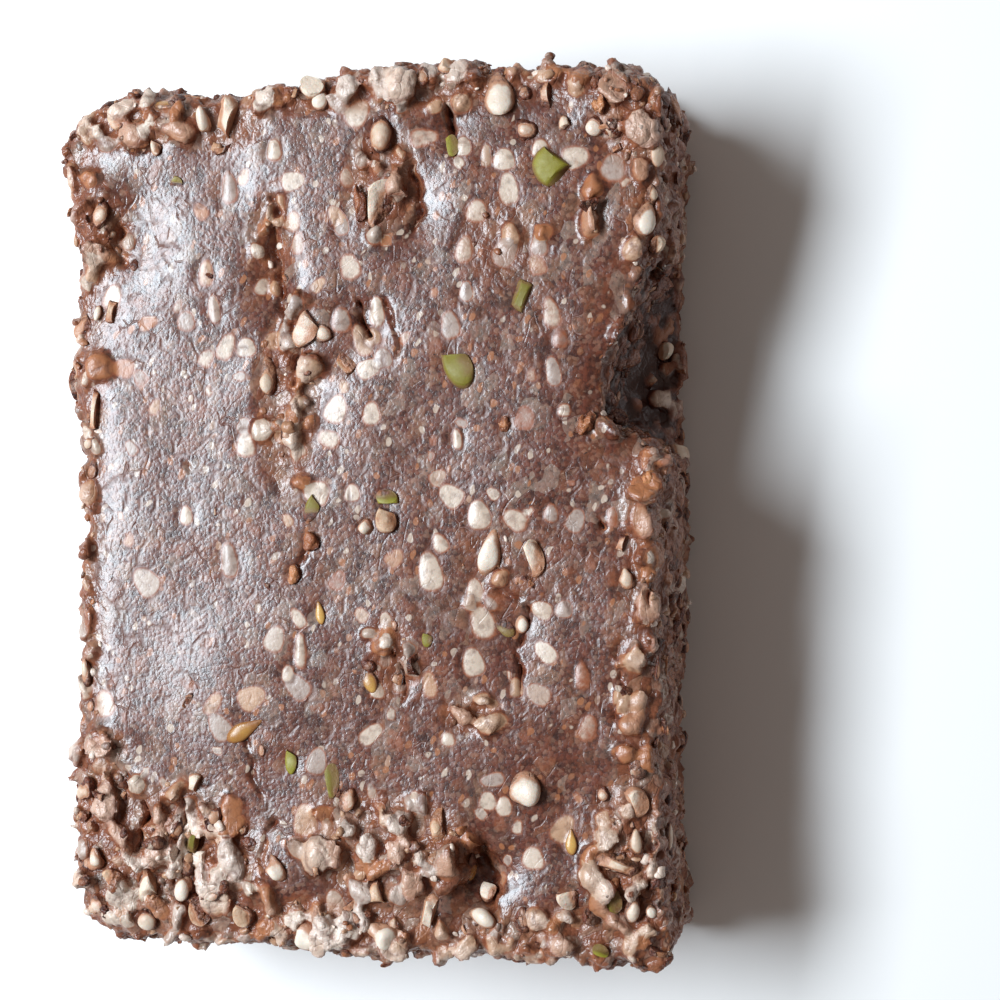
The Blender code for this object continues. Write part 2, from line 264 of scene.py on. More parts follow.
def pull(test, move=(0, 0, 0), size=(1, 1, 1), center=(0, 0, 0), reach=0.6):
    # pulls one end of a ball, and what is near it, as a soft clay
    soft = {"use_proportional_edit": True, "proportional_edit_falloff": "SMOOTH", "proportional_size": reach}
    bpy.ops.object.mode_set(mode="EDIT")
    selectPoints(test)
    bpy.ops.transform.resize(value=size, center_override=center, **soft)
    bpy.ops.transform.translate(value=move, **soft)
    bpy.ops.object.mode_set(mode="OBJECT")


def kernelShape(rounds, pinch, lean):
    # a hulled seed: plump at one end, drawn to a blunt point at the other
    ball(rounds)
    pull(lambda co: co.y > 0.4, size=(pinch, 1, pinch), move=(lean, 0.08, 0), center=(0, 0.5, 0))
    return takeShape()


def chunkShape(rounds, cuts):
    # a chopped nut: a ball with sides cut off flat, their edges worn
    ball(rounds)
    for place, way in cuts:
        editAll(bpy.ops.mesh.bisect, plane_co=place, plane_no=way, use_fill=True, clear_outer=True)
    editAll(bpy.ops.mesh.vertices_smooth, factor=0.5, repeat=2 * rounds)
    return takeShape()


def crumbShape(rounds, size, depth):
    # a crumb of dough: a ball pushed in and out by a cloud
    ball(rounds)
    pushOut(bpy.context.object, "CLOUDS", size, depth)
    return takeShape()


def makeShapes():
    tips = ((0.6, 0.0), (0.4, 0.07), (0.8, -0.06))  # how narrow, and how far to one side
    chopped = (
        (((0.32, 0, 0), (1, 0.3, 0.2)), ((0, -0.36, 0), (0.2, -1, 0.3))),
        (((0.3, 0, 0), (1, -0.3, 0.3)), ((-0.36, 0, 0), (-1, 0.2, 0.4))),
        (((0, 0.32, 0), (0.3, 1, 0)), ((0, 0, 0.34), (0.3, 0.1, 1))),
        (((0, 0, 0.3), (0.4, 0.2, 1)), ((-0.34, 0, 0), (-1, -0.3, 0.1))),
    )
    shapes = {
        "crumbFine": [crumbShape(3, size, 0.5) for size in (0.25, 0.32, 0.4)],
        "crumb": [crumbShape(2, size, 0.45) for size in (0.3, 0.36, 0.42, 0.5)],
    }
    for rounds, finish in ((3, "Fine"), (2, "")):
        shapes["kernel" + finish] = [kernelShape(rounds, pinch, lean) for pinch, lean in tips]
        shapes["chunk" + finish] = [chunkShape(rounds, cuts) for cuts in chopped]
    print("shapes modelled:", {name: len(group) for name, group in shapes.items()})
    return shapes


# laying out: a spot says where one piece sits, how big it is and how it is turned

def wobbled(points, amount, draw):
    out = points.copy()
    for wave in range(3):
        slope = draw.normal(size=3) * (2.2 + 1.6 * wave)
        swing = np.sin(points @ slope + draw.uniform(0, 2 * math.pi))
        out += points * (swing * amount / (1 + wave))[:, None]
    return out


def frameOn(normal, turn, tilt):
    # axes of a piece that lies along the surface: across, along and out
    lean = Vector((0, 0, 1)).rotation_difference(Vector(normal)).to_matrix()
    spin = Matrix.Rotation(math.radians(turn), 3, "Z")
    tip = Matrix.Rotation(math.radians(tilt), 3, "X")
    return np.array(lean @ spin @ tip)


def insideBox(points):
    low, high = np.array(solidBox)
    spare = np.array(bar["spare"])
    return (points.min(0) > low - spare).all() and (points.max(0) < high + spare).all()


def layOut(name, shapes, spots, seed):
    draw = np.random.default_rng(seed)
    parts, triangles = [], []
    marks = {"rise": [], "tint": [], "coat": []}
    start = 0
    for spot in spots:
        shape = shapes[int(draw.integers(len(shapes)))]
        points = wobbled(shape["points"], spot["wobble"], draw)
        size = np.array((spot["width"], spot["length"], spot["thick"])) * mm
        axes = frameOn(spot["normal"], spot["turn"], spot["tilt"])
        place, normal = np.array(spot["place"]), np.array(spot["normal"])
        placed = (points * size) @ axes.T + (place + normal * size[2] * (spot["proud"] - 0.5))
        if not insideBox(placed) or placed[:, 2].min() < bar["foot"]:
            continue
        parts.append(placed)
        triangles.append(shape["triangles"] + start)
        start += len(placed)
        marks["rise"].append(((placed - place) @ normal) / (size[2] * max(spot["proud"], 0.2)))
        marks["tint"].append(np.full(len(placed), spot.get("tint", draw.uniform())))
        marks["coat"].append(np.full(len(placed), spot["coat"]))
    thing = meshFrom(name, np.concatenate(parts), np.concatenate(triangles))
    for mark, values in marks.items():
        setAttribute(thing.data, mark, np.concatenate(values))
    print(name, "made of", len(parts), "pieces,", len(thing.data.polygons), "triangles")
    return thing


def evenPlaces(thing, count, wanted, draw):
    # places spread evenly over a mesh, kept where wanted(points, normals) says so
    points = pointsOf(thing.data)
    corners = points[trianglesOf(thing.data)]
    cross = np.cross(corners[:, 1] - corners[:, 0], corners[:, 2] - corners[:, 0])
    area = np.linalg.norm(cross, axis=1)
    chosen = draw.choice(len(corners), size=count, p=area / area.sum())
    a, b = draw.uniform(size=(2, count))
    flip = a + b > 1
    a[flip], b[flip] = 1 - a[flip], 1 - b[flip]
    first, second, third = corners[chosen].transpose(1, 0, 2)
    places = first + (second - first) * a[:, None] + (third - first) * b[:, None]
    normals = cross[chosen] / area[chosen][:, None]
    keep = draw.uniform(size=count) < wanted(places, normals)
    return places[keep], normals[keep]


def spaced(places, sizes, share):
    # which places to keep, the largest first, so that pieces of these sizes in mm hardly touch
    kept = []
    placesKept, sizesKept = np.empty((len(places), 3)), np.empty(len(places))
    for index in np.argsort(-sizes):
        count = len(kept)
        apart = np.linalg.norm(placesKept[:count] - places[index], axis=1)
        if (apart > share * mm * (sizesKept[:count] + sizes[index]) / 2).all():
            placesKept[count], sizesKept[count] = places[index], sizes[index]
            kept.append(index)
    return kept


def drawnPlaces(thing, settings, wanted, draw):
    # even places as above, with a drawn size in mm for each
    places, normals = evenPlaces(thing, settings["drawn"], wanted, draw)
    small, large = settings["size"]
    return places, normals, small + (large - small) * draw.beta(*settings["bias"], len(places))


# where on the bar a place is

bar = {
    "topLevel": 19.5 * mm,  # above this the dough counts as the top's rim
    "plan": 22 * mm,  # level at which places in the photo are read
    "rimWidth": 4.5 * mm,
    "halfWidth": 31.0 * mm,
    "halfLength": 44.8 * mm,
    "rightCoat": 0.45,  # more dough on nuts and seeds towards the right edge
    "sideFoot": 0.8 * mm,  # below this nothing is scattered on the sides
    "foot": 0.15 * mm,  # no piece reaches below this
    "spare": (0.5 * mm, 0.6 * mm, 0.3 * mm),  # how far pieces may stand out of the solid's box
}

# where the pressed skin has crumbled open: u, v, reach along both in pixels, strength
crumblyPlaces = (
    (165, 865, 105, 85, 1.0), (100, 800, 40, 50, 1.0), (130, 118, 80, 34, 0.8), (215, 118, 60, 36, 0.6),
    (95, 235, 36, 46, 0.8), (645, 110, 58, 66, 1.0), (662, 560, 32, 130, 0.7), (645, 860, 66, 110, 1.0),
    (385, 850, 95, 62, 0.9), (330, 930, 130, 34, 1.0), (560, 935, 130, 30, 0.8), (380, 180, 40, 60, 0.8),
    (285, 400, 34, 100, 0.7), (350, 88, 260, 24, 0.8), (520, 575, 80, 60, 0.15), (100, 748, 30, 22, 1.0),
    (500, 240, 50, 50, 0.3), (665, 380, 40, 80, 1.0), (270, 240, 22, 60, 0.5), (80, 560, 16, 260, 0.6),
    (470, 715, 36, 26, 0.6), (390, 660, 26, 50, 0.5), (590, 215, 20, 34, 0.3), (655, 230, 30, 60, 0.8),
)

# where the dough covers its seeds, in the same way
coveredPlaces = (
    (590, 280, 70, 110, 0.9), (540, 440, 100, 70, 0.6), (620, 470, 50, 90, 0.6), (620, 700, 70, 100, 0.7),
    (420, 420, 60, 50, 0.5), (360, 560, 40, 60, 0.5), (440, 220, 50, 60, 0.4), (150, 230, 40, 60, 0.5),
)


def planPlace(u, v):
    start, way = pixelLine(u, v)
    return start + way * ((bar["plan"] - start.z) / way.z)


def strengthAt(places, table):
    # 0 away from the table's places, up to 1 in them
    strength = np.zeros(len(places))
    for u, v, reachU, reachV, much in table:
        middle = planPlace(u, v)
        across = (planPlace(u + reachU, v) - middle).length
        along = (planPlace(u, v + reachV) - middle).length
        reach = np.hypot((places[:, 0] - middle.x) / across, (places[:, 1] - middle.y) / along)
        strength = np.maximum(strength, much * (1 - np.clip(reach, 0, 1) ** 3))
    return strength


def showing(places, normals):
    # on the top or on a side, clear of the underside
    upward, height = normals[:, 2], places[:, 2]
    onTop = (upward > 0.6) & (height > bar["topLevel"])
    return onTop | ((upward < 0.6) & (upward > -0.7) & (height > bar["sideFoot"]))


def nearRim(places):
    # 1 at the top's edge, falling to 0 further in
    inward = np.minimum(bar["halfWidth"] - abs(places[:, 0]), bar["halfLength"] - abs(places[:, 1]))
    return np.clip(1 - inward / bar["rimWidth"], 0, 1)


def sideShare(normals):
    # 0 where the surface looks up, 1 where it is upright or looks down
    return np.clip((0.75 - normals[..., 2]) / 0.35, 0, 1)


def openness(places, normals):
    # 0 where the pressed skin is whole, up to 1 where the dough is broken
    rim = 0.7 * nearRim(places)
    return np.maximum.reduce([strengthAt(places, crumblyPlaces), rim, sideShare(normals)])


# places measured in the photo: u, v in its pixels, length and width in mm and, for some, turn in degrees

pressedNuts = (
    (229, 188, 3.5, 1.7, 5), (206, 273, 3.0, 1.6), (214, 309, 3.0, 1.1, 8), (341, 320, 2.7, 2.0),
    (186, 321, 2.2, 2.0), (246, 347, 2.0, 2.0), (373, 336, 2.0, 1.6), (383, 358, 2.0, 1.9),
    (378, 313, 3.0, 1.2), (464, 249, 3.0, 1.8, -10), (477, 211, 2.4, 2.3), (506, 249, 3.6, 2.3, -25),
    (539, 244, 2.4, 1.8), (551, 313, 3.5, 1.8, 15), (560, 338, 2.4, 1.6), (553, 371, 3.0, 1.4, 10),
    (430, 571, 4.0, 2.4, 10), (440, 543, 2.2, 1.6, 30), (475, 591, 2.6, 1.8, 10), (482, 622, 3.8, 2.6, 20),
    (479, 515, 3.0, 2.3, 10), (515, 520, 2.8, 2.1, 60), (541, 610, 2.2, 1.7, 70), (564, 609, 1.8, 1.6),
    (473, 662, 3.0, 2.2, 10), (582, 676, 3.0, 1.6, 5), (316, 493, 2.8, 2.4, 80), (352, 493, 1.8, 1.6),
    (246, 444, 2.8, 2.0, 5), (186, 515, 2.2, 1.4), (229, 560, 3.8, 1.7, 5), (300, 651, 3.9, 1.2),
    (288, 674, 1.8, 1.3), (296, 448, 2.4, 1.4), (282, 419, 1.8, 1.3), (387, 640, 2.0, 1.6),
    (385, 660, 1.8, 1.2), (377, 691, 1.6, 1.4), (551, 513, 2.0, 1.4), (612, 517, 2.2, 1.2),
    (457, 439, 2.2, 1.0, 10), (564, 410, 1.4, 1.4), (588, 728, 3.2, 1.9, -15), (533, 858, 2.4, 2.4),
    (325, 829, 2.6, 1.6), (418, 824, 2.2, 1.4), (571, 842, 2.4, 1.2), (504, 806, 2.0, 1.6),
    (448, 739, 1.6, 1.5), (662, 717, 1.4, 1.2), (463, 146, 2.0, 1.6), (486, 155, 2.4, 1.0),
    (504, 159, 2.2, 2.1), (540, 148, 2.0, 1.8), (274, 150, 2.4, 1.6), (342, 226, 2.0, 1.4),
    (466, 291, 2.0, 1.2), (376, 311, 3.0, 1.4), (450, 325, 3.0, 2.0, 10), (186, 814, 2.0, 1.6),
)
standingNuts = (
    (227, 117, 3.9, 2.6, -8), (202, 122, 2.7, 1.4, 5), (117, 121, 1.7, 1.6), (379, 131, 3.3, 2.8),
    (379, 204, 4.6, 2.4, -8), (141, 146, 2.0, 1.4), (157, 149, 1.8, 1.4), (101, 211, 4.4, 2.2, -15),
    (69, 221, 2.4, 1.2), (112, 311, 2.5, 1.7), (98, 312, 1.7, 0.9), (306, 329, 3.5, 2.3, -30),
    (323, 336, 2.2, 2.2), (347, 363, 2.9, 2.2, 20), (267, 376, 3.5, 2.4, 15), (313, 88, 2.2, 2.1),
    (320, 99, 2.0, 1.6), (296, 92, 1.6, 0.9), (498, 92, 4.0, 2.6, 15), (448, 70, 1.8, 1.7),
    (523, 129, 2.6, 2.4, 30), (565, 122, 1.8, 1.4), (593, 125, 1.8, 1.6), (626, 62, 3.0, 2.3),
    (657, 128, 1.8, 1.6), (657, 150, 2.9, 1.3, 5), (544, 95, 3.0, 2.2, 20), (647, 220, 3.0, 2.0, -15),
    (657, 246, 2.0, 1.4), (652, 193, 2.0, 1.2), (665, 354, 2.2, 1.8), (491, 555, 4.1, 2.0, -10),
    (535, 558, 4.1, 2.1, 5), (522, 623, 2.4, 1.6, -10), (387, 520, 2.2, 1.8), (366, 526, 2.0, 1.8),
    (621, 542, 2.0, 1.8), (625, 580, 2.2, 1.6), (678, 455, 2.8, 2.2, 80), (688, 486, 2.0, 1.0),
    (686, 584, 1.6, 1.1), (659, 669, 3.2, 0.9), (193, 784, 2.0, 1.9), (349, 798, 2.8, 2.1, -25),
    (83, 816, 1.6, 1.4), (86, 788, 2.4, 1.8), (146, 881, 3.5, 1.6, 5), (184, 887, 3.0, 1.9),
    (198, 912, 3.0, 2.2), (95, 860, 2.2, 2.0), (112, 878, 1.8, 1.7), (148, 918, 2.0, 1.8),
    (244, 916, 2.0, 1.8), (273, 869, 2.6, 2.2, 20), (242, 826, 1.8, 1.6), (307, 938, 2.4, 2.2),
    (375, 893, 2.2, 1.8), (380, 935, 3.0, 2.6, 80), (439, 823, 3.6, 1.6), (526, 787, 3.6, 2.8, 10),
    (638, 802, 3.0, 2.1, 8), (636, 842, 2.2, 1.4), (570, 898, 2.4, 2.2, 40), (633, 909, 2.4, 1.8),
    (429, 913, 3.2, 2.0), (482, 917, 2.7, 1.9, 85), (620, 866, 3.8, 1.8, 80), (669, 838, 2.4, 1.4),
    (662, 884, 1.3, 1.0, 90), (652, 910, 1.3, 1.0), (488, 891, 2.0, 1.6), (85, 671, 2.8, 1.1),
    (95, 410, 3.8, 1.0), (98, 902, 1.8, 1.6), (674, 896, 1.4, 1.0), (604, 793, 1.4, 1.2),
)
cleanNuts = (  # u, v of those without a film of dough
    (535, 558), (491, 555), (227, 117), (313, 88), (429, 913), (193, 784), (638, 802),
    (380, 935), (307, 938), (184, 887), (522, 623), (146, 881), (655, 193), (665, 354),
)
pumpkinSpots = (
    (550, 166, 4.2, 3.8, 35), (459, 369, 4.6, 3.2, 25), (522, 296, 3.4, 2.2, -10), (452, 146, 2.4, 1.4),
    (387, 497, 2.4, 1.7, 80), (427, 640, 1.5, 1.2), (332, 782, 3.6, 1.6), (291, 762, 2.5, 1.2),
    (192, 840, 3.0, 1.6), (612, 902, 2.6, 2.0), (601, 951, 2.0, 1.4, 60), (627, 50, 2.4, 1.2, 90),
)
flaxSpots = (
    (244, 730, 4.5, 1.9, -58), (320, 613, 2.4, 1.0, 10), (211, 949, 2.0, 1.3, 80), (571, 842, 2.6, 1.2, 5),
)
dateSpots = (
    (358, 202, 3.6, 1.3, 5), (585, 424, 2.7, 2.2, -30), (647, 479, 2.0, 1.8), (674, 109, 5.4, 1.8, -8),
    (311, 540, 2.0, 1.4), (295, 573, 1.8, 1.2), (600, 105, 2.4, 1.6), (505, 425, 1.6, 1.2),
)
ridges = (  # lumps of date that are one with the dough
    (590, 220, 4.4, 2.0, 5), (465, 715, 3.6, 2.2, 50), (448, 864, 3.6, 2.4), (397, 850, 3.6, 2.8, 30),
    (404, 842, 2.4, 2.0), (100, 748, 3.2, 2.8, 80), (159, 815, 4.6, 2.4, 5), (157, 848, 4.6, 2.4, -5),
    (106, 800, 4.4, 2.8, 10), (120, 838, 4.4, 2.6, 30), (614, 92, 4.4, 3.0, 20), (640, 125, 4.6, 3.2, 10),
    (640, 168, 3.0, 2.0), (395, 182, 3.4, 2.0), (96, 250, 3.2, 2.6), (130, 132, 4.0, 2.8, 60),
    (182, 132, 4.0, 2.6, 80), (648, 600, 4.0, 2.4), (640, 520, 3.6, 2.2), (414, 880, 3.4, 2.4),
    (620, 925, 3.6, 2.4, 60), (565, 945, 3.4, 2.2, 80), (270, 900, 4.0, 2.4, 20), (335, 850, 3.2, 2.0),
)
cracks = (  # u, v of both ends, then width and depth in mm
    (360, 300, 362, 333, 1.1, 1.3), (446, 104, 446, 134, 1.4, 1.5), (413, 162, 414, 228, 1.5, 1.1),
    (270, 195, 272, 273, 1.5, 0.9), (272, 273, 290, 330, 1.2, 0.8), (290, 330, 296, 385, 1.2, 0.8),
    (396, 650, 400, 701, 0.8, 0.7), (515, 698, 524, 609, 0.8, 0.7), (478, 850, 482, 905, 3.6, 1.2),
    (600, 516, 602, 526, 0.8, 0.8), (650, 590, 650, 602, 0.8, 0.8), (184, 462, 188, 470, 0.7, 0.6),
    (142, 800, 140, 850, 1.0, 1.2), (178, 800, 178, 860, 1.0, 1.0), (112, 222, 118, 262, 1.6, 0.8),
    (306, 540, 295, 573, 1.0, 0.5), (240, 740, 262, 800, 0.9, 0.4), (268, 820, 262, 875, 0.9, 0.5),
    (388, 300, 396, 360, 0.7, 0.4), (622, 640, 616, 720, 0.8, 0.4), (500, 590, 520, 600, 0.9, 0.4),
)


def seatAt(tree, u, v, length):
    # the dough's level and slope round a measured place, past any seed that the solid has there
    start, way = pixelLine(u, v)
    place, normal, _, _ = tree.ray_cast(start, way)
    if place is None:
        return None, None
    reach = 0.55 * length / 0.1
    around = []
    for step in range(8):
        angle = step * math.pi / 4
        _, near = pixelLine(u + reach * math.cos(angle), v + reach * math.sin(angle))
        hit, slope, _, _ = tree.ray_cast(start, near)
        if hit is not None and abs(hit.z - place.z) < 2.2 * mm:
            around.append((hit, slope))
    if len(around) < 4:
        return place, normal
    level = sum((hit.z for hit, _ in around)) / len(around)
    slope = sum((slope for _, slope in around), Vector()).normalized()
    place = place + way * ((level - place.z) / way.z)
    return place, slope


measuredKinds = {  # places, proud, coat, thickness, wobble and tilt
    "hidden": (pressedNuts, (0.2, 0.4), (0.1, 0.55), 0.7, 0.1, 0),
    "standing": (standingNuts, (0.25, 0.48), (0.1, 0.7), 0.85, 0.24, 8),
    "pumpkin": (pumpkinSpots, (0.3, 0.5), (0.0, 0.3), 0.45, 0.06, 0),
    "flax": (flaxSpots, (0.4, 0.6), (0.0, 0.1), 0.45, 0.02, 0),
    "dates": (dateSpots, (0.4, 0.65), (0.0, 0.5), 0.75, 0.25, 0),
    "ridges": (ridges, (0.5, 0.6), (0.0, 0.0), 0.8, 0.3, 0),
}
cleanLook = {"coat": -0.1, "tint": 0.1}


def measuredSpots(tree, draw, table, proud, coat, thickness, wobble, tilt):
    spots = []
    for u, v, length, width, *turn in table:
        place, normal = seatAt(tree, u, v, length)
        if place is None:
            continue
        spots.append({
            "place": place, "normal": normal, "length": length, "width": width,
            "thick": width * thickness, "turn": turn[0] if turn else 0, "tilt": draw.normal() * tilt,
            "proud": draw.uniform(*proud), "coat": draw.uniform(*coat), "wobble": wobble,
        })
        if (u, v) in cleanNuts:
            spots[-1].update(cleanLook)
    return spots


def freeSpots(places, normals, sizes, settings, draw):
    # spots at drawn places, with drawn sizes in mm
    spots = []
    for place, normal, size in zip(places, normals, sizes):
        width = size * draw.uniform(*settings["slimness"])
        spots.append({
            "place": place, "normal": normal / np.linalg.norm(normal), "length": size, "width": width,
            "thick": width * draw.uniform(*settings["thickness"]), "turn": draw.normal() * settings["turn"],
            "tilt": draw.normal() * settings["tilt"], "proud": draw.uniform(*settings["proud"]),
            "coat": draw.uniform(*settings["coat"]) + bar["rightCoat"] * max(place[0] / bar["halfWidth"], 0),
            "wobble": settings["wobble"],
        })
    return spots


# the dough: the bar's own solid, evened out, with crumbs worked into it and seeds under its skin

biteWallShade = {  # painted shade under the edge of the bite in the right side
    "from": 6 * mm,
    "to": 27 * mm,
    "left": 24 * mm,
    "below": 19.2 * mm,
    "foot": 4 * mm,
    "soft": 2 * mm,  # over which it begins and ends
    "depth": 0.45,  # painted as dark as a hollow so many mm deep
}

dough = {
    "coreVoxel": 0.5 * mm,
    "coreSoftening": 4,
    "skinSoftening": 220,  # rounds more where the skin is whole
    "voxel": 0.29 * mm,
    "lowerSides": 12 * mm,  # below this level
    "zoneTriangles": (32000, 40000, 130000, 110000),
    "pebbleSize": 1.3 * mm,
    "pebbleDepth": 0.55 * mm,
    "cloudSize": 0.7 * mm,
    "cloudDepth": 0.6 * mm,
    "skinRelief": 0.01,  # share of that relief that the whole skin keeps
    "gap": 0.6 * mm,  # how far the dough between the lumps lies below them
    "sideGap": 0.35,  # share of that on the sides
    "flatFoot": 0.12 * mm,  # what lies lower is pressed flat on the floor
    "topSpare": 0.2 * mm,  # how far the relief may stand out of the solid's box at the top
}

lumps = {  # crumbs and coated nuts that are one with the dough
    "drawn": 15000,
    "seed": 5,
    "size": (1.6, 4.2),
    "bias": (1.4, 1.9),
    "spacing": 0.5,
    "slimness": (0.5, 0.85),
    "thickness": (0.6, 0.9),
    "proud": (0.25, 0.6),
    "tilt": 18,
    "turn": 40,
    "coat": (0, 0),
    "wobble": 0.22,
    "show": (0.7, 1.0),
    "sideShow": 0.15,  # share of that on the sides
    "sideProud": 0.6,
    "tone": (0.3, 1.0),  # from cream over tan to amber
    "rightShade": 0.7,  # painted shade: nearer to amber by this share at the right edge, away from the window
    "ridgeProud": 0.55,
    "ridgeTone": 0.9,  # amber
    "ridgeShow": 0.6,
}

hidden = {  # seeds under the skin
    "drawn": 6500,
    "seed": 8,
    "size": (0.9, 3.6),
    "bias": (1.3, 2.6),
    "spacing": 0.80,
    "slimness": (0.5, 0.85),
    "turn": 40,
    "rise": (0.0, 0.01),  # mm that each lifts the skin
    "openRise": 0.2,  # mm more where the skin has crumbled
    "groove": 0.06,  # mm deep round it there
    "bare": 0.2,  # share of them whose color comes through
    "show": (0.45, 0.95),  # how far it does
    "veiled": (0.0, 0.2),  # and how far that of the others does
}

landmarks = {  # the measured seeds under the skin
    "rise": (0.12, 0.3),
    "show": (0.55, 1.0),
    "tone": (0.0, 0.7),
    "veil": 0.75,  # share of the color that the dough takes where it covers them
}


def makeCore():
    core = addThing("dough core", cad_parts["brownie"].data.copy())
    choose(core)
    editAll(bpy.ops.mesh.remove_doubles, threshold=0.01 * mm)
    applyModifier(core, "REMESH", mode="VOXEL", voxel_size=dough["coreVoxel"])
    applyModifier(core, "SMOOTH", factor=0.5, iterations=dough["coreSoftening"])
    weigh(core, "skin", 1 - 1.8 * openness(pointsOf(core.data), normalsOf(core.data)))
    applyModifier(core, "SMOOTH", factor=0.5, iterations=dough["skinSoftening"], vertex_group="skin")
    core.vertex_groups.clear()
    print("core evened out:", len(core.data.vertices), "points")
    return core


seat = {
    "reach": 0.75,  # of the piece's length
    "above": 3 * mm,
    "below": 0.4 * mm,
    "sink": 0.15 * mm,
}


def pressSeats(core, spots):
    # takes the solid's own seeds down to the dough's level where the real ones will sit
    points = pointsOf(core.data)
    for spot in spots:
        place, normal = np.array(spot["place"]), np.array(spot["normal"])
        away = points - place
        above = away @ normal
        flat = np.linalg.norm(away - above[:, None] * normal, axis=1) / (seat["reach"] * spot["length"] * mm)
        weight = (1 - np.clip(flat, 0, 1) ** 2) ** 2 * (abs(above) < seat["above"])
        drop = np.clip(above, -seat["below"], seat["above"]) + seat["sink"]
        points -= normal * (np.maximum(drop, 0) * weight)[:, None]
    setPoints(core.data, points)


def sinkGaps(core):
    # takes crumbled dough down, so that the lumps worked into it stand out
    points, normals = pointsOf(core.data), normalsOf(core.data)
    drop = openness(points, normals) * (1 - sideShare(normals) * (1 - dough["sideGap"])) * dough["gap"]
    drop *= np.clip(points[:, 2] / mm - 1, 0, 1)
    setPoints(core.data, points - normals * drop[:, None])


def farFrom(place, taken):
    # whether a piece here leaves the measured ones free
    return all(math.dist(place, other["place"]) > 0.55 * other["length"] * mm for other in taken)


def lumpSpots(core, taken):
    draw = np.random.default_rng(lumps["seed"])

    def wanted(places, normals):
        return np.where(places[:, 2] > 0.5 * mm, openness(places, normals) ** 1.5, 0)

    places, normals, sizes = drawnPlaces(core, lumps, wanted, draw)
    kept = [index for index in spaced(places, sizes, lumps["spacing"]) if farFrom(places[index], taken)]
    spots = freeSpots(places[kept], normals[kept], sizes[kept], lumps, draw)
    for spot in spots:
        side = float(sideShare(spot["normal"]))
        rightward = float(np.clip(spot["place"][0] / bar["halfWidth"], -1, 1))
        spot["proud"] *= 1 - side * (1 - lumps["sideProud"])
        spot["show"] = draw.uniform(*lumps["show"]) * (1 - side * (1 - lumps["sideShow"]))
        # painted shade: the lumps turn nearer to amber towards the right edge
        spot["tone"] = 1 - (1 - draw.uniform(*lumps["tone"])) * (1 - lumps["rightShade"] * rightward)
    return spots


def ridgeSpots(spots):
    # the measured lumps of date stand out alike
    for spot in spots:
        spot.update(proud=lumps["ridgeProud"], show=lumps["ridgeShow"], tone=lumps["ridgeTone"])
    return spots


def workInLumps(core, shapes, spots):
    kinds = shapes["crumb"][:2] + shapes["kernel"] + shapes["chunk"]
    return joined(core, layOut("lumps", kinds, spots, lumps["seed"]))


def hiddenSpots(core, taken):
    draw = np.random.default_rng(hidden["seed"])

    def wanted(places, normals):
        return np.where(places[:, 2] > 1.5 * mm, 1, 0)

    places, normals, sizes = drawnPlaces(core, hidden, wanted, draw)
    opened = openness(places, normals)
    bare = 1 - strengthAt(places, coveredPlaces)
    spots = []
    for index in spaced(places, sizes, hidden["spacing"]):
        if not farFrom(places[index], taken):
            continue
        size, normal = sizes[index], normals[index]
        spots.append({
            "place": places[index], "normal": normal / np.linalg.norm(normal), "length": size,
            "width": size * draw.uniform(*hidden["slimness"]), "turn": draw.normal() * hidden["turn"],
            "rise": draw.uniform(*hidden["rise"]) + hidden["openRise"] * opened[index],
        })
        shown = hidden["show" if draw.uniform() < hidden["bare"] else "veiled"]
        spots[-1].update(show=bare[index] * draw.uniform(*shown), tone=draw.uniform())
    return spots


outline = {
    "square": 2.4,  # 2 is an ellipse
    "taper": 0.25,
    "within": 1.6,  # mm over or under the skin
    "edge": (1.15, 0.45),  # where the color begins, and over which share of the way in it grows full
    "ring": (1.15, 0.25),  # where the groove lies and half its width
}


def seedField(points, spots, standing):
    # for each point of the dough: the lift by a hidden seed, its groove, its color's share and its tone
    tree = KDTree(len(points))
    for index, point in enumerate(points.tolist()):
        tree.insert(point, index)
    tree.balance()
    lift, groove, show, tone = np.zeros((4, len(points)))
    for spot in spots + standing:
        place = Vector(spot["place"])
        near = [index for _, index, _ in tree.find_range(place, 0.85 * spot["length"] * mm)]
        if not near:
            continue
        local = (points[near] - np.array(place)) @ frameOn(spot["normal"], spot["turn"], 0) / mm
        across, along = local[:, 0] / (0.5 * spot["width"]), local[:, 1] / (0.5 * spot["length"])
        across = across * (1 + outline["taper"] * along)
        square = outline["square"]
        reach = (abs(across) ** square + abs(along) ** square) ** (1 / square)
        if "rise" in spot:
            close = abs(local[:, 2]) < outline["within"]
            dome = spot["rise"] * np.clip(1 - reach ** 2, 0, 1) * close
            ring = np.clip(1 - abs(reach - outline["ring"][0]) / outline["ring"][1], 0, 1) * close
            lift[near] = np.maximum(lift[near], dome)
            groove[near] = np.maximum(groove[near], ring)
        else:
            top = spot["thick"] * spot["proud"]
            close = np.clip(0.2 + local[:, 2] / (0.6 * top), 0, 1) * (local[:, 2] < 1.4 * top + 0.2)
        begin, soft = outline["edge"]
        cover = spot["show"] * np.clip((begin - reach) / soft, 0, 1) * close
        tone[near] = np.where(cover > show[near], spot["tone"], tone[near])
        show[near] = np.maximum(show[near], cover)
    return lift, groove, show, tone


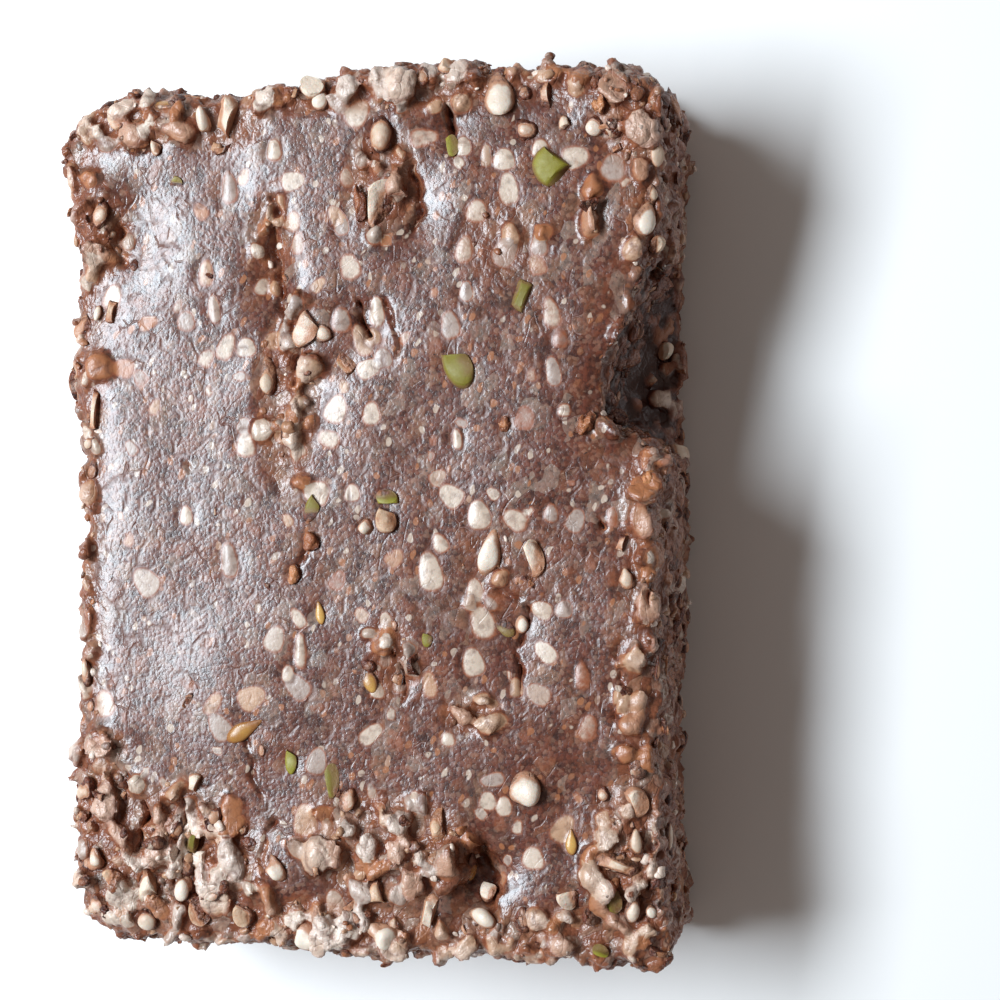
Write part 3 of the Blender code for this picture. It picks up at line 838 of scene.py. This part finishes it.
def crackDepth(points):
    # how deep, in mm, the measured cracks and pits take down each point of the bar's upper half
    depth = np.zeros(len(points))
    x, y = points[:, 0] / mm, points[:, 1] / mm
    # both wander to the sides by up to half a mm, and grow wider and narrower along the way
    winding = 0.4 * np.sin(0.9 * y + 1.3) + 0.16 * np.sin(2.3 * y + 0.5 * x)
    plan = np.stack((x + winding, y + 0.2 * np.sin(1.3 * x)), axis=1) * mm
    swing = 0.8 + 0.2 * np.sin(1.7 * y + 0.9 * x) + 0.12 * np.sin(3.9 * y)
    for u, v, endU, endV, width, deep in cracks:
        start, end = (np.array(planPlace(*place))[:2] for place in ((u, v), (endU, endV)))
        along = end - start
        share = np.clip(((plan - start) @ along) / (along @ along), 0, 1)
        away = np.linalg.norm(plan - start - share[:, None] * along, axis=1) / (0.5 * width * mm * swing)
        depth = np.maximum(depth, deep * swing * (1 - np.clip(away, 0, 1) ** 2) ** 2)
    return depth * np.clip(2 * points[:, 2] / bar["topLevel"] - 1, 0, 1)


def weigh(thing, name, weights):
    # a vertex group with one weight a point, in steps
    group = thing.vertex_groups.new(name=name)
    steps = np.round(np.clip(weights, 0, 1) * 20).astype(int)
    for step in range(21):
        group.add(np.nonzero(steps == step)[0].tolist(), step / 20, "REPLACE")


def makeDough(core, shapes, spots, ridgesMeasured, taken):
    standing = lumpSpots(core, taken) + ridgeSpots(ridgesMeasured)
    sinkGaps(core)
    base = treeOf(core)
    thing = workInLumps(core, shapes, standing)
    thing.name = "dough"
    applyModifier(thing, "REMESH", mode="VOXEL", voxel_size=dough["voxel"])
    applyModifier(thing, "SMOOTH", factor=0.5, iterations=1)
    points, normals = pointsOf(thing.data), normalsOf(thing.data)
    weigh(thing, "relief", dough["skinRelief"] + openness(points, normals) ** 1.5)
    pushOut(thing, "VORONOI", dough["pebbleSize"], -dough["pebbleDepth"], 0.4, "relief")
    pushOut(thing, "CLOUDS", dough["cloudSize"], dough["cloudDepth"], 0.5, "relief")
    points, normals = pointsOf(thing.data), normalsOf(thing.data)
    lift, groove, _, _ = seedField(points, spots, [])
    sunk = hidden["groove"] * groove * openness(points, normals)
    points = points + normals * (np.where(lift > 0, lift, -sunk) * mm)[:, None]
    points[:, 2] -= crackDepth(points) * mm
    setPoints(thing.data, points)
    thinOut(thing)
    settleFoot(thing)
    markDough(thing, spots, standing, base)
    choose(thing)
    bpy.ops.object.shade_smooth()
    print("dough made:", len(thing.data.polygons), "triangles,", len(spots), "seeds under its skin")
    return thing


def zonesOf(points, normals):
    # 0 the underside and lower sides, 1 the upper sides, 2 the crumbled top, 3 the whole skin
    high = (points[:, 2] > bar["topLevel"] - 1.5 * mm) & (normals[:, 2] > -0.2)
    whole = openness(points, normals) < 0.3
    return np.where(high, np.where(whole, 3, 2), np.where(points[:, 2] < dough["lowerSides"], 0, 1))


def thinOut(thing):
    # each zone by itself, so that the flat skin keeps the points that its seeds' colors need
    for zone, triangles in enumerate(dough["zoneTriangles"]):
        inZone = zonesOf(pointsOf(thing.data), normalsOf(thing.data)) == zone
        ratio = triangles / (2 * inZone.sum())
        print("zone", zone, "keeps", round(min(ratio, 1), 2), "of its triangles")
        if ratio < 1:
            choose(thing)
            bpy.ops.object.mode_set(mode="EDIT")
            selectThose(inZone.tolist())
            bpy.ops.mesh.decimate(ratio=ratio)
            bpy.ops.object.mode_set(mode="OBJECT")


def markDough(thing, spots, standing, base):
    # what the dough's colors follow: seeds under the skin, hollows in mm that are painted as shade,
    # height in mm over the dough between the lumps, and crumbled places
    points = pointsOf(thing.data)
    _, groove, show, tone = seedField(points, spots, standing)
    smooth = addThing("smooth", thing.data.copy())
    applyModifier(smooth, "SMOOTH", factor=0.5, iterations=16)
    normals = normalsOf(smooth.data)
    shadedHollow = ((pointsOf(smooth.data) - points) * normals).sum(1) / mm
    opened = openness(points, normals)
    bpy.data.objects.remove(smooth)
    x, y, z = points.T
    # painted shade: the wall under the bite's edge counts as a hollow, so it is painted darker
    along = np.minimum(y - biteWallShade["from"], biteWallShade["to"] - y) / biteWallShade["soft"]
    under = np.clip((biteWallShade["below"] - z) / mm, 0, 1) * (z > biteWallShade["foot"]) * (x > biteWallShade["left"])
    shadedHollow += biteWallShade["depth"] * np.clip(along, 0, 1) * under
    over = np.zeros(len(points))
    for index in np.nonzero(opened > 0.05)[0]:
        over[index] = base.find_nearest(Vector(points[index]))[3] / mm
    marks = {"show": show, "tone": tone, "shadedHollow": shadedHollow, "open": opened, "groove": groove, "over": over}
    for name, values in marks.items():
        setAttribute(thing.data, name, values)


def settleFoot(thing):
    points = pointsOf(thing.data)
    points[:, 2] = np.where(points[:, 2] < dough["flatFoot"], 0, points[:, 2])
    low, high = np.array(solidBox)
    setPoints(thing.data, np.clip(points, low, high + np.array((0, 0, dough["topSpare"]))))


# shader helpers: they add nodes to the tree in hand, and a Wire is what comes out of a node

inHand = {"tree": None}


class Wire:
    def __init__(self, made, name=0):
        self.socket = made.outputs[name]

    def __add__(self, other):
        return calc("ADD", self, other)

    def __sub__(self, other):
        return calc("SUBTRACT", self, other)

    def __mul__(self, other):
        return calc("MULTIPLY", self, other)


def feed(node, inputs):
    # joins wires to a node's inputs and sets plain values there
    for name, value in inputs.items():
        if isinstance(value, Wire):
            inHand["tree"].links.new(value.socket, node.inputs[name])
        else:
            node.inputs[name].default_value = value


def addNode(kind, inputs=None, **settings):
    made = inHand["tree"].nodes.new(kind)
    for name, value in settings.items():
        setattr(made, name, value)
    feed(made, inputs or {})
    return made


def newMaterial(name):
    material = bpy.data.materials.new(name)
    material.use_nodes = True
    inHand["tree"] = material.node_tree
    return material, material.node_tree.nodes["Principled BSDF"]


def calc(operation, first, second, clamp=False):
    return Wire(addNode("ShaderNodeMath", {0: first, 1: second}, operation=operation, use_clamp=clamp))


def between(value, low, high, start=0.0, end=1.0):
    inputs = {"Value": value, "From Min": low, "From Max": high, "To Min": start, "To Max": end}
    return Wire(addNode("ShaderNodeMapRange", inputs, interpolation_type="SMOOTHSTEP"), "Result")


def mixed(share, first, second):
    first, second = (tint if isinstance(tint, Wire) else (*tint, 1) for tint in (first, second))
    return Wire(addNode("ShaderNodeMix", {0: share, 6: first, 7: second}, data_type="RGBA"), 2)


def layered(color, layers):
    # lays one color over another: where it lies, how strong it is there, and the color or its name
    for where, strength, tint in layers:
        share = where if strength == 1 else where * strength
        color = mixed(share, color, doughLook[tint] if isinstance(tint, str) else tint)
    return color


def banded(value, color, *bands):
    # a color that goes over into another one at each band of the value
    for low, high, tint in bands:
        color = mixed(between(value, low, high), color, doughLook[tint])
    return color


def noiseOf(place, scale, detail=2.0, roughness=0.5, output="Fac"):
    inputs = {"Vector": place, "Scale": scale, "Detail": detail, "Roughness": roughness}
    return Wire(addNode("ShaderNodeTexNoise", inputs), output)


def cellsOf(place, scale):
    # rounded cells: how far away their middles are, and three numbers drawn for each
    cells = addNode("ShaderNodeTexVoronoi", {"Vector": place, "Scale": scale})
    lots = addNode("ShaderNodeSeparateColor", {0: Wire(cells, "Color")})
    return Wire(cells, "Distance"), [Wire(lots, index) for index in range(3)]


def domesOf(away):
    # rounded granules from the distance to their middles: 1 on top, falling to about 0 in the creases
    return calc("SUBTRACT", 1.0, away * (away * 1.3))


def stretched(place, degrees, amount):
    inputs = {"Vector": place, "Rotation": (0, 0, math.radians(degrees)), "Scale": (1, amount, 1)}
    return Wire(addNode("ShaderNodeMapping", inputs, vector_type="TEXTURE"), "Vector")


def attribute(name):
    return Wire(addNode("ShaderNodeAttribute", attribute_name=name), "Fac")


def newGroup(name, inputs, outputs):
    # takes a new group in hand: returns it, the wires that come in and the node that the others go to
    group = bpy.data.node_groups.new(name, "ShaderNodeTree")
    for label, kind, value in inputs:
        socket = group.interface.new_socket(label, in_out="INPUT", socket_type="NodeSocket" + kind)
        if value is not None:
            socket.default_value = value
    for label, kind in outputs:
        group.interface.new_socket(label, in_out="OUTPUT", socket_type="NodeSocket" + kind)
    inHand["tree"] = group
    entry = addNode("NodeGroupInput")
    return group, [Wire(entry, label) for label, _, _ in inputs], addNode("NodeGroupOutput")


# the surface of the dough, shared by the dough itself and by the film of it on nuts and seeds

doughLook = {
    "dark": (0.036, 0.011, 0.008),
    "brown": (0.112, 0.029, 0.018),
    "red": (0.200, 0.050, 0.020),
    "dustySheen": (0.200, 0.105, 0.088),
    "fleck": (0.018, 0.010, 0.010),
    "meal": (0.42, 0.26, 0.18),
    "pale": (0.78, 0.62, 0.52),
    "cream": (0.58, 0.44, 0.34),
    "gray": (0.38, 0.275, 0.225),
    "tan": (0.48, 0.275, 0.165),
    "amber": (0.38, 0.140, 0.058),
    "rusty": (0.28, 0.090, 0.040),
    "rust": (0.28, 0.080, 0.032),
    "seamAndShade": (0.120, 0.034, 0.018),
    "crease": (0.085, 0.024, 0.014),
    "redness": 0.3,
    "openRedness": 0.7,  # more where it has crumbled
    "crumbRedness": 0.6,
    "crumbOpen": 0.4,
    "grain": 0.0205 * mm,  # what a height of 1 stands for
    "body": {"IOR": 1.58, "Subsurface Weight": 0.06, "Subsurface Radius": (1.0, 0.35, 0.2),
             "Subsurface Scale": 0.5 * mm},
}

doughScales = {  # about how many of each go into a metre
    "broad": 130, "middle": 640, "fine": 1700, "wrinkle": 2600, "shadedPits": 2600, "specks": 1500,
    "sway": 600, "grain": 2500, "smallGrain": 4300, "bits": 680, "chips": 1300,
    "tears": 330, "splits": 260, "folds": 520,
    "film": 750, "mottle": 1300, "crumbly": 2000, "grooves": 420,
}

doughHeights = {  # how far each stands up or, below 0, goes in
    "wrinkle": 0.2, "fine": 0.65, "smallGrain": 0.2, "shadedPits": -0.3, "splits": -1.5, "tears": -1.8,
    "openGrain": 2.4, "bits": 0.4, "openBits": 7.0, "crumbly": 6.0,
}


def doughGroup():
    # pressed granules with bits of nut and seed among them; Open says how far they come through
    scales, heights = doughScales, doughHeights
    group, (place, redness, opened), leave = newGroup(
        "dough surface",
        (("Vector", "Vector", None), ("Redness", "Float", 0.3), ("Open", "Float", 0.0)),
        (("Color", "Color"), ("Roughness", "Float"), ("Height", "Float")))
    drawn = stretched(place, -18, 1.4)  # a little along the way the bar was rolled
    rolled = stretched(place, -14, 4)  # and a lot
    middle = noiseOf(drawn, scales["middle"])
    fine = noiseOf(place, scales["fine"], 3, 0.6)
    wrinkle = noiseOf(drawn, scales["wrinkle"], 1)
    specks = noiseOf(place, scales["specks"], 2, 0.7)
    sway = addNode("ShaderNodeVectorMath", {0: noiseOf(place, scales["sway"], 1, 0.5, "Color"),
                                            1: (0.8 * mm, 0.8 * mm, 0.8 * mm)}, operation="MULTIPLY")
    bent = Wire(addNode("ShaderNodeVectorMath", {0: drawn, 1: Wire(sway)}, operation="ADD"))
    grainAway, grainLots = cellsOf(place, scales["grain"])
    bitAway, (pick, lot, _) = cellsOf(bent, scales["bits"])
    chipAway, chipLots = cellsOf(bent, scales["chips"])
    grain = domesOf(grainAway)
    smallGrain = domesOf(cellsOf(place, scales["smallGrain"])[0])
    border = Wire(addNode("ShaderNodeTexVoronoi", {"Vector": bent, "Scale": scales["bits"]},
                          feature="DISTANCE_TO_EDGE"), "Distance")

    redShare = between(noiseOf(place, scales["broad"]), 0.35, 0.65, 0.0, 0.3) + redness
    # dark pits that lie in the creases between the granules: real pits, with painted shade darkening the
    # creases
    shadedPits = between(noiseOf(place, scales["shadedPits"], 2, 0.6), 0.56, 0.40) * between(grain, 0.85, 0.45)
    bit = banded(pick, doughLook["rusty"], (0.30, 0.34, "amber"), (0.50, 0.54, "tan"), (0.70, 0.74, "cream"))
    bitShare = calc("ADD", between(lot, 0.4, 1.0, 0.0, 0.22), opened * 0.6, clamp=True)
    chip = banded(chipLots[1], doughLook["cream"], (0.4, 0.5, "amber"))
    tears = calc("MAXIMUM", between(noiseOf(place, scales["tears"], 1), 0.60, 0.68), opened)
    tears = tears * between(border, 0.06, 0.01)
    folds = calc("ABSOLUTE", noiseOf(rolled, scales["folds"], 1) - 0.5, 0)  # 0 along winding lines
    splits = between(noiseOf(place, scales["splits"]), 0.6, 0.68) * between(folds, 0.025, 0.005)
    color = layered(banded(middle, doughLook["dark"], (0.36, 0.60, "brown")), (
        (redShare * between(fine, 0.32, 0.62), 1, "red"),
        # dusty bloom with painted sheen: lighter on the ridges of the wrinkles
        (between(wrinkle, 0.46, 0.66), 0.1, "dustySheen"),
        (between(grainLots[2], 0.6, 1.0), 0.26, "meal"),
        (between(grainLots[2], 0.4, 0.0), 0.5, "dark"),
        (shadedPits, 0.65, "dark"),
        (bitShare * between(fine, 0.3, 0.5, 0.4, 1.0), 1, bit),
        (between(chipLots[0], 0.84, 0.88, 0.0, 0.75) * between(chipAway, 0.48, 0.36), 1, chip),
        (tears, 0.85, "seamAndShade"),
        (splits, 0.8, "crease"),
        (between(specks, 0.66, 0.74), 0.5, "meal"),
        (between(specks, 0.31, 0.26), 0.8, "fleck"),
    ))

    roundness = opened * heights["openGrain"] + between(middle, 0.4, 0.6, 0.25, 0.7)
    hill = domesOf(bitAway) * (opened * heights["openBits"] + heights["bits"])
    height = wrinkle * heights["wrinkle"] + fine * heights["fine"] + smallGrain * heights["smallGrain"]
    height = height + shadedPits * heights["shadedPits"] + grain * roundness + splits * heights["splits"]
    height = height + hill + tears * heights["tears"]
    rough = between(middle, 0.3, 0.7, 0.25, 0.30) + tears * 0.2
    feed(leave, {"Color": color, "Roughness": rough, "Height": height})
    return group


filmLook = {
    "patches": 700,  # to the metre
    "uneven": 1.3,
    "foot": (0.95, 0.2),  # rises between which it thickens
    "coat": 0.8,
    "stain": (0.95, 1.6),  # thickness from which it stains
    "dough": (1.6, 2.1),  # and from which it hides all
}


def filmGroup():
    # how much of a nut or seed the dough still covers
    group, (place, rise, coat), leave = newGroup(
        "dough film",
        (("Vector", "Vector", None), ("Rise", "Float", 1.0), ("Coat", "Float", 0.3)),
        (("Stain", "Float"), ("Dough", "Float")))
    patches = noiseOf(place, filmLook["patches"], 3, 0.6) * filmLook["uneven"]
    thick = patches + between(rise, *filmLook["foot"]) + coat * filmLook["coat"]
    feed(leave, {"Stain": between(thick, *filmLook["stain"]), "Dough": between(thick, *filmLook["dough"])})
    return group


def placeOf():
    return Wire(addNode("ShaderNodeTexCoord"), "Object")


def finishMaterial(shader, color, rough, height, grain, body):
    bump = addNode("ShaderNodeBump", {"Strength": 1.0, "Distance": grain, "Height": height})
    feed(shader, {"Base Color": color, "Roughness": rough, "Normal": Wire(bump, "Normal"), **body})


def doughSurface(groups, place, redness, opened):
    surface = addNode("ShaderNodeGroup", {"Vector": place, "Redness": redness, "Open": opened},
                      node_tree=groups["dough"])
    return [Wire(surface, name) for name in ("Color", "Roughness", "Height")]


def doughMaterial(groups):
    material, shader = newMaterial("dough")
    place = placeOf()
    opened, show, tone, over, shadedHollow, groove = (
        attribute(name) for name in ("open", "show", "tone", "over", "shadedHollow", "groove"))
    color, rough, height = doughSurface(
        groups, place, opened * doughLook["openRedness"] + doughLook["redness"], opened)
    film = noiseOf(place, doughScales["film"], 3, 0.6)
    mottle = noiseOf(place, doughScales["mottle"])
    shown = show + film * 0.6
    above = over + film
    share = between(shown, 0.34, 0.58) * between(mottle, 0.3, 0.56, 0.6, 1.0) * between(show, 0.0, 0.3)
    torn = groove * between(noiseOf(place, doughScales["grooves"]), 0.46, 0.56)
    seed = banded(tone, doughLook["cream"], (0.34, 0.44, "gray"), (0.6, 0.7, "tan"), (0.84, 0.92, "amber"))
    seed = mixed(between(shown, 0.55, 0.88), doughLook["rust"], seed)
    seed = layered(seed, (
        (between(above, 0.85, 1.75, 0, 0.8) * between(tone, 0.95, 0.85) * opened, 1, "pale"),
        (between(above, 1.25, 0.55, 0, 0.85) * opened, 1, "amber"),
    ))
    color = layered(color, (
        (between(film, 0.35, 0.6, 0, 0.8) * opened, 1, "rusty"),
        (share, 1, seed),
        (torn, 0.7, "seamAndShade"),
        # painted shade: the dough between the lumps darker, the lower it lies
        (between(over, 0.35, 0.0) * opened, 0.35, "seamAndShade"),
        # painted shade: hollows redder and darker, the deeper the darker
        (between(shadedHollow, 0.06, 0.3), 0.65, "red"),
        (between(shadedHollow, 0.2, 0.55), 0.8, "dark"),
    ))
    crumbly = opened * noiseOf(place, doughScales["crumbly"], 2, 0.6)
    height = height * between(share, 0.2, 0.9, 1.0, 0.7)
    height = height + crumbly * doughHeights["crumbly"] + torn * doughHeights["tears"]
    rough = rough + (share * 0.08 + opened * 0.05) + torn * 0.2
    finishMaterial(shader, color, rough, height, doughLook["grain"], doughLook["body"])
    return material


def crumbMaterial(groups):
    material, shader = newMaterial("crumbs")
    tint = attribute("tint")
    color, rough, height = doughSurface(
        groups, placeOf(), doughLook["crumbRedness"], doughLook["crumbOpen"])
    color = layered(color, ((between(tint, 0.2, 0.45), 0.75, "amber"), (between(tint, 0.5, 0.6), 0.8, "tan"),
                            (between(tint, 0.8, 0.85), 0.8, "pale")))
    finishMaterial(shader, color, rough + 0.1, height, doughLook["grain"], doughLook["body"])
    return material


seedLooks = {
    "nuts": {"light": (0.74, 0.60, 0.48), "deep": (0.60, 0.39, 0.25), "stain": (0.42, 0.16, 0.07),
             "roughness": 0.46, "glow": 0.3, "grain": 1500, "bump": 0.16},
    "kernels": {"light": (0.76, 0.64, 0.53), "deep": (0.62, 0.46, 0.34), "stain": (0.42, 0.17, 0.08),
                "roughness": 0.42, "glow": 0.3, "grain": 1300, "bump": 0.1},
    "pumpkin": {"light": (0.27, 0.235, 0.02), "deep": (0.19, 0.15, 0.018), "stain": (0.20, 0.11, 0.035),
                "roughness": 0.54, "glow": 0.2, "grain": 900, "bump": 0.06},
    "flax": {"light": (0.58, 0.33, 0.09), "deep": (0.36, 0.16, 0.04), "stain": (0.30, 0.12, 0.04),
             "roughness": 0.28, "glow": 0.2, "grain": 1500, "bump": 0.03},
    "dates": {"light": (0.54, 0.23, 0.10), "deep": (0.30, 0.10, 0.042), "stain": (0.15, 0.045, 0.024),
              "roughness": 0.36, "glow": 0.3, "grain": 1900, "bump": 0.25},
}


def seedMaterial(groups, name):
    look = seedLooks[name]
    material, shader = newMaterial(name)
    place = placeOf()
    doughColor, _, doughHeight = doughSurface(groups, place, doughLook["crumbRedness"], 0)
    film = addNode("ShaderNodeGroup", {"Vector": place, "Rise": attribute("rise"), "Coat": attribute("coat")},
                   node_tree=groups["film"])
    stain, covered = Wire(film, "Stain"), Wire(film, "Dough")
    mottle = noiseOf(place, look["grain"] * 0.5, 3, 0.6)
    grain = noiseOf(place, look["grain"], 3, 0.6)
    shade = attribute("tint") * 0.8 + mottle * 0.9
    color = mixed(between(shade, 0.35, 1.25), look["light"], look["deep"])
    color = layered(color, ((stain, 0.85, look["stain"]), (covered, 1, doughColor)))
    rough = between(grain, 0.3, 0.7, look["roughness"] - 0.08, look["roughness"] + 0.1)
    finishMaterial(shader, color, rough, grain + covered * doughHeight, look["bump"] * mm, {
        "IOR": 1.46, "Subsurface Weight": look["glow"], "Subsurface Radius": (1.0, 0.6, 0.4),
        "Subsurface Scale": 0.7 * mm})
    return material


# the nuts, seeds, dates and crumbs: how many places are drawn for each, which share of them stays
# where the skin is whole or open, and how far apart they keep

scatter = {
    "nuts": {"drawn": 520, "size": (0.9, 3.2), "bias": (1.4, 2.4), "spacing": 0.9, "whole": 0.02, "seed": 21,
             "slimness": (0.6, 0.9), "thickness": (0.6, 0.95), "tilt": 14, "wobble": 0.24, "turn": 60,
             "proud": (0.15, 0.5), "coat": (0.7, 1.6)},
    "kernels": {"drawn": 420, "size": (1.2, 3.2), "bias": (1.6, 2.2), "spacing": 0.9, "whole": 0.03,
                "slimness": (0.5, 0.72), "thickness": (0.6, 0.85), "tilt": 12, "wobble": 0.12, "turn": 50,
                "proud": (0.15, 0.45), "coat": (0.7, 1.6), "seed": 22},
    "pumpkin": {"drawn": 26, "size": (1.2, 4.0), "bias": (1.4, 2.2), "spacing": 2, "whole": 0.2, "seed": 23,
                "slimness": (0.5, 0.8), "thickness": (0.35, 0.5), "tilt": 10, "wobble": 0.08, "turn": 60,
                "proud": (0.15, 0.5), "coat": (0.4, 1.0)},
    "flax": {"drawn": 16, "size": (2.6, 4.4), "bias": (1.5, 1.5), "spacing": 2, "whole": 0.1, "seed": 24,
             "slimness": (0.42, 0.5), "thickness": (0.35, 0.5), "tilt": 10, "wobble": 0.03, "turn": 60,
             "proud": (0.2, 0.5), "coat": (0.3, 0.9)},
    "dates": {"drawn": 380, "size": (0.7, 2.6), "bias": (1.3, 2.4), "spacing": 0.9, "whole": 0.03, "seed": 25,
              "slimness": (0.6, 0.95), "thickness": (0.6, 0.95), "tilt": 16, "wobble": 0.3, "turn": 60,
              "proud": (0.2, 0.5), "coat": (0.4, 1.1)},
}


def scatteredSpots(core, tree, settings):
    # pieces that stand proud of the dough, most of them where it has crumbled
    draw = np.random.default_rng(settings["seed"])

    def wanted(places, normals):
        share = settings["whole"] + (settings["open"] - settings["whole"]) * openness(places, normals)
        return np.where(showing(places, normals), share, 0)

    places, normals, sizes = drawnPlaces(core, settings, wanted, draw)
    if settings["spacing"]:
        kept = spaced(places, sizes, settings["spacing"])
        places, normals, sizes = places[kept], normals[kept], sizes[kept]
    return freeSpots(onSurface(tree, places, normals), normals, sizes, settings, draw)


def onSurface(tree, places, normals):
    # moves places of the core out to the dough's real surface
    moved = []
    for place, normal in zip(places, normals):
        outside = Vector(place + normal * 2.5 * mm)
        hit, _, _, _ = tree.ray_cast(outside, Vector(-normal), 5 * mm)
        moved.append(place if hit is None else np.array(hit))
    return np.array(moved)


crumbs = {
    "drawn": 6500,
    "open": 0.4,  # share of the places that stay where the skin has crumbled
    "whole": 0,
    "size": (0.35, 1.6),
    "bias": (1.3, 3.2),
    "spacing": 0,
    "seed": 31,
    "slimness": (0.6, 1.0),
    "thickness": (0.5, 0.9),
    "tilt": 25,
    "turn": 90,
    "wobble": 0.3,
    "proud": (0.3, 0.7),
    "coat": (0, 0),
}


def finishPiece(thing, material):
    thing.data.materials.clear()
    thing.data.materials.append(material)
    choose(thing)
    bpy.ops.object.shade_smooth_by_angle(angle=math.radians(60))
    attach(thing, "root")
    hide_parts("brownie")


photoCamera = addCamera()
addLight()
addFloor()
shapes = makeShapes()
core = makeCore()
coreTree = treeOf(core)
landmarkDraw = np.random.default_rng(3)
measured = {kind: measuredSpots(coreTree, landmarkDraw, *row) for kind, row in measuredKinds.items()}
pressSeats(core, [spot for group in measured.values() for spot in group])
carrier = core.copy()
carrier.data = core.data.copy()
veils = strengthAt(np.array([spot["place"] for spot in measured["hidden"]]), coveredPlaces)
for spot, veil in zip(measured["hidden"], veils):
    spot["rise"] = landmarkDraw.uniform(*landmarks["rise"])
    spot["show"] = landmarkDraw.uniform(*landmarks["show"]) * (1 - landmarks["veil"] * veil)
    spot["tone"] = landmarkDraw.uniform(*landmarks["tone"])
allStanding = [spot for name, group in measured.items() if name != "hidden" for spot in group]
underSkin = measured["hidden"] + hiddenSpots(carrier, measured["hidden"] + allStanding)
doughPiece = makeDough(core, shapes, underSkin, measured["ridges"], allStanding)
doughTree = treeOf(doughPiece)

groups = {"dough": doughGroup(), "film": filmGroup()}
finishPiece(doughPiece, doughMaterial(groups))

every = {
    "nuts": ("chunk", "chunkFine", "nut", measured["standing"][::2]),
    "kernels": ("kernel", "kernelFine", "pale_seed", measured["standing"][1::2]),
    "pumpkin": ("chunkFine", "chunkFine", "pumpkin_seed", measured["pumpkin"]),
    "flax": ("kernelFine", "kernelFine", "flax", measured["flax"]),
    "dates": ("crumb", "crumbFine", "date", measured["dates"]),
}
for kind, (plain, fine, slot, spots) in every.items():
    settings = {"open": 1, **scatter[kind]}
    big = layOut(kind, shapes[fine], spots, settings["seed"])
    small = scatteredSpots(carrier, doughTree, settings)
    many = layOut(kind + " more", shapes[plain], small, settings["seed"])
    finishPiece(joined(big, many), seedMaterial(groups, kind))

crumbPiece = layOut("crumbs", shapes["crumb"], scatteredSpots(carrier, doughTree, crumbs), crumbs["seed"])
finishPiece(crumbPiece, crumbMaterial(groups))
bpy.data.objects.remove(carrier)
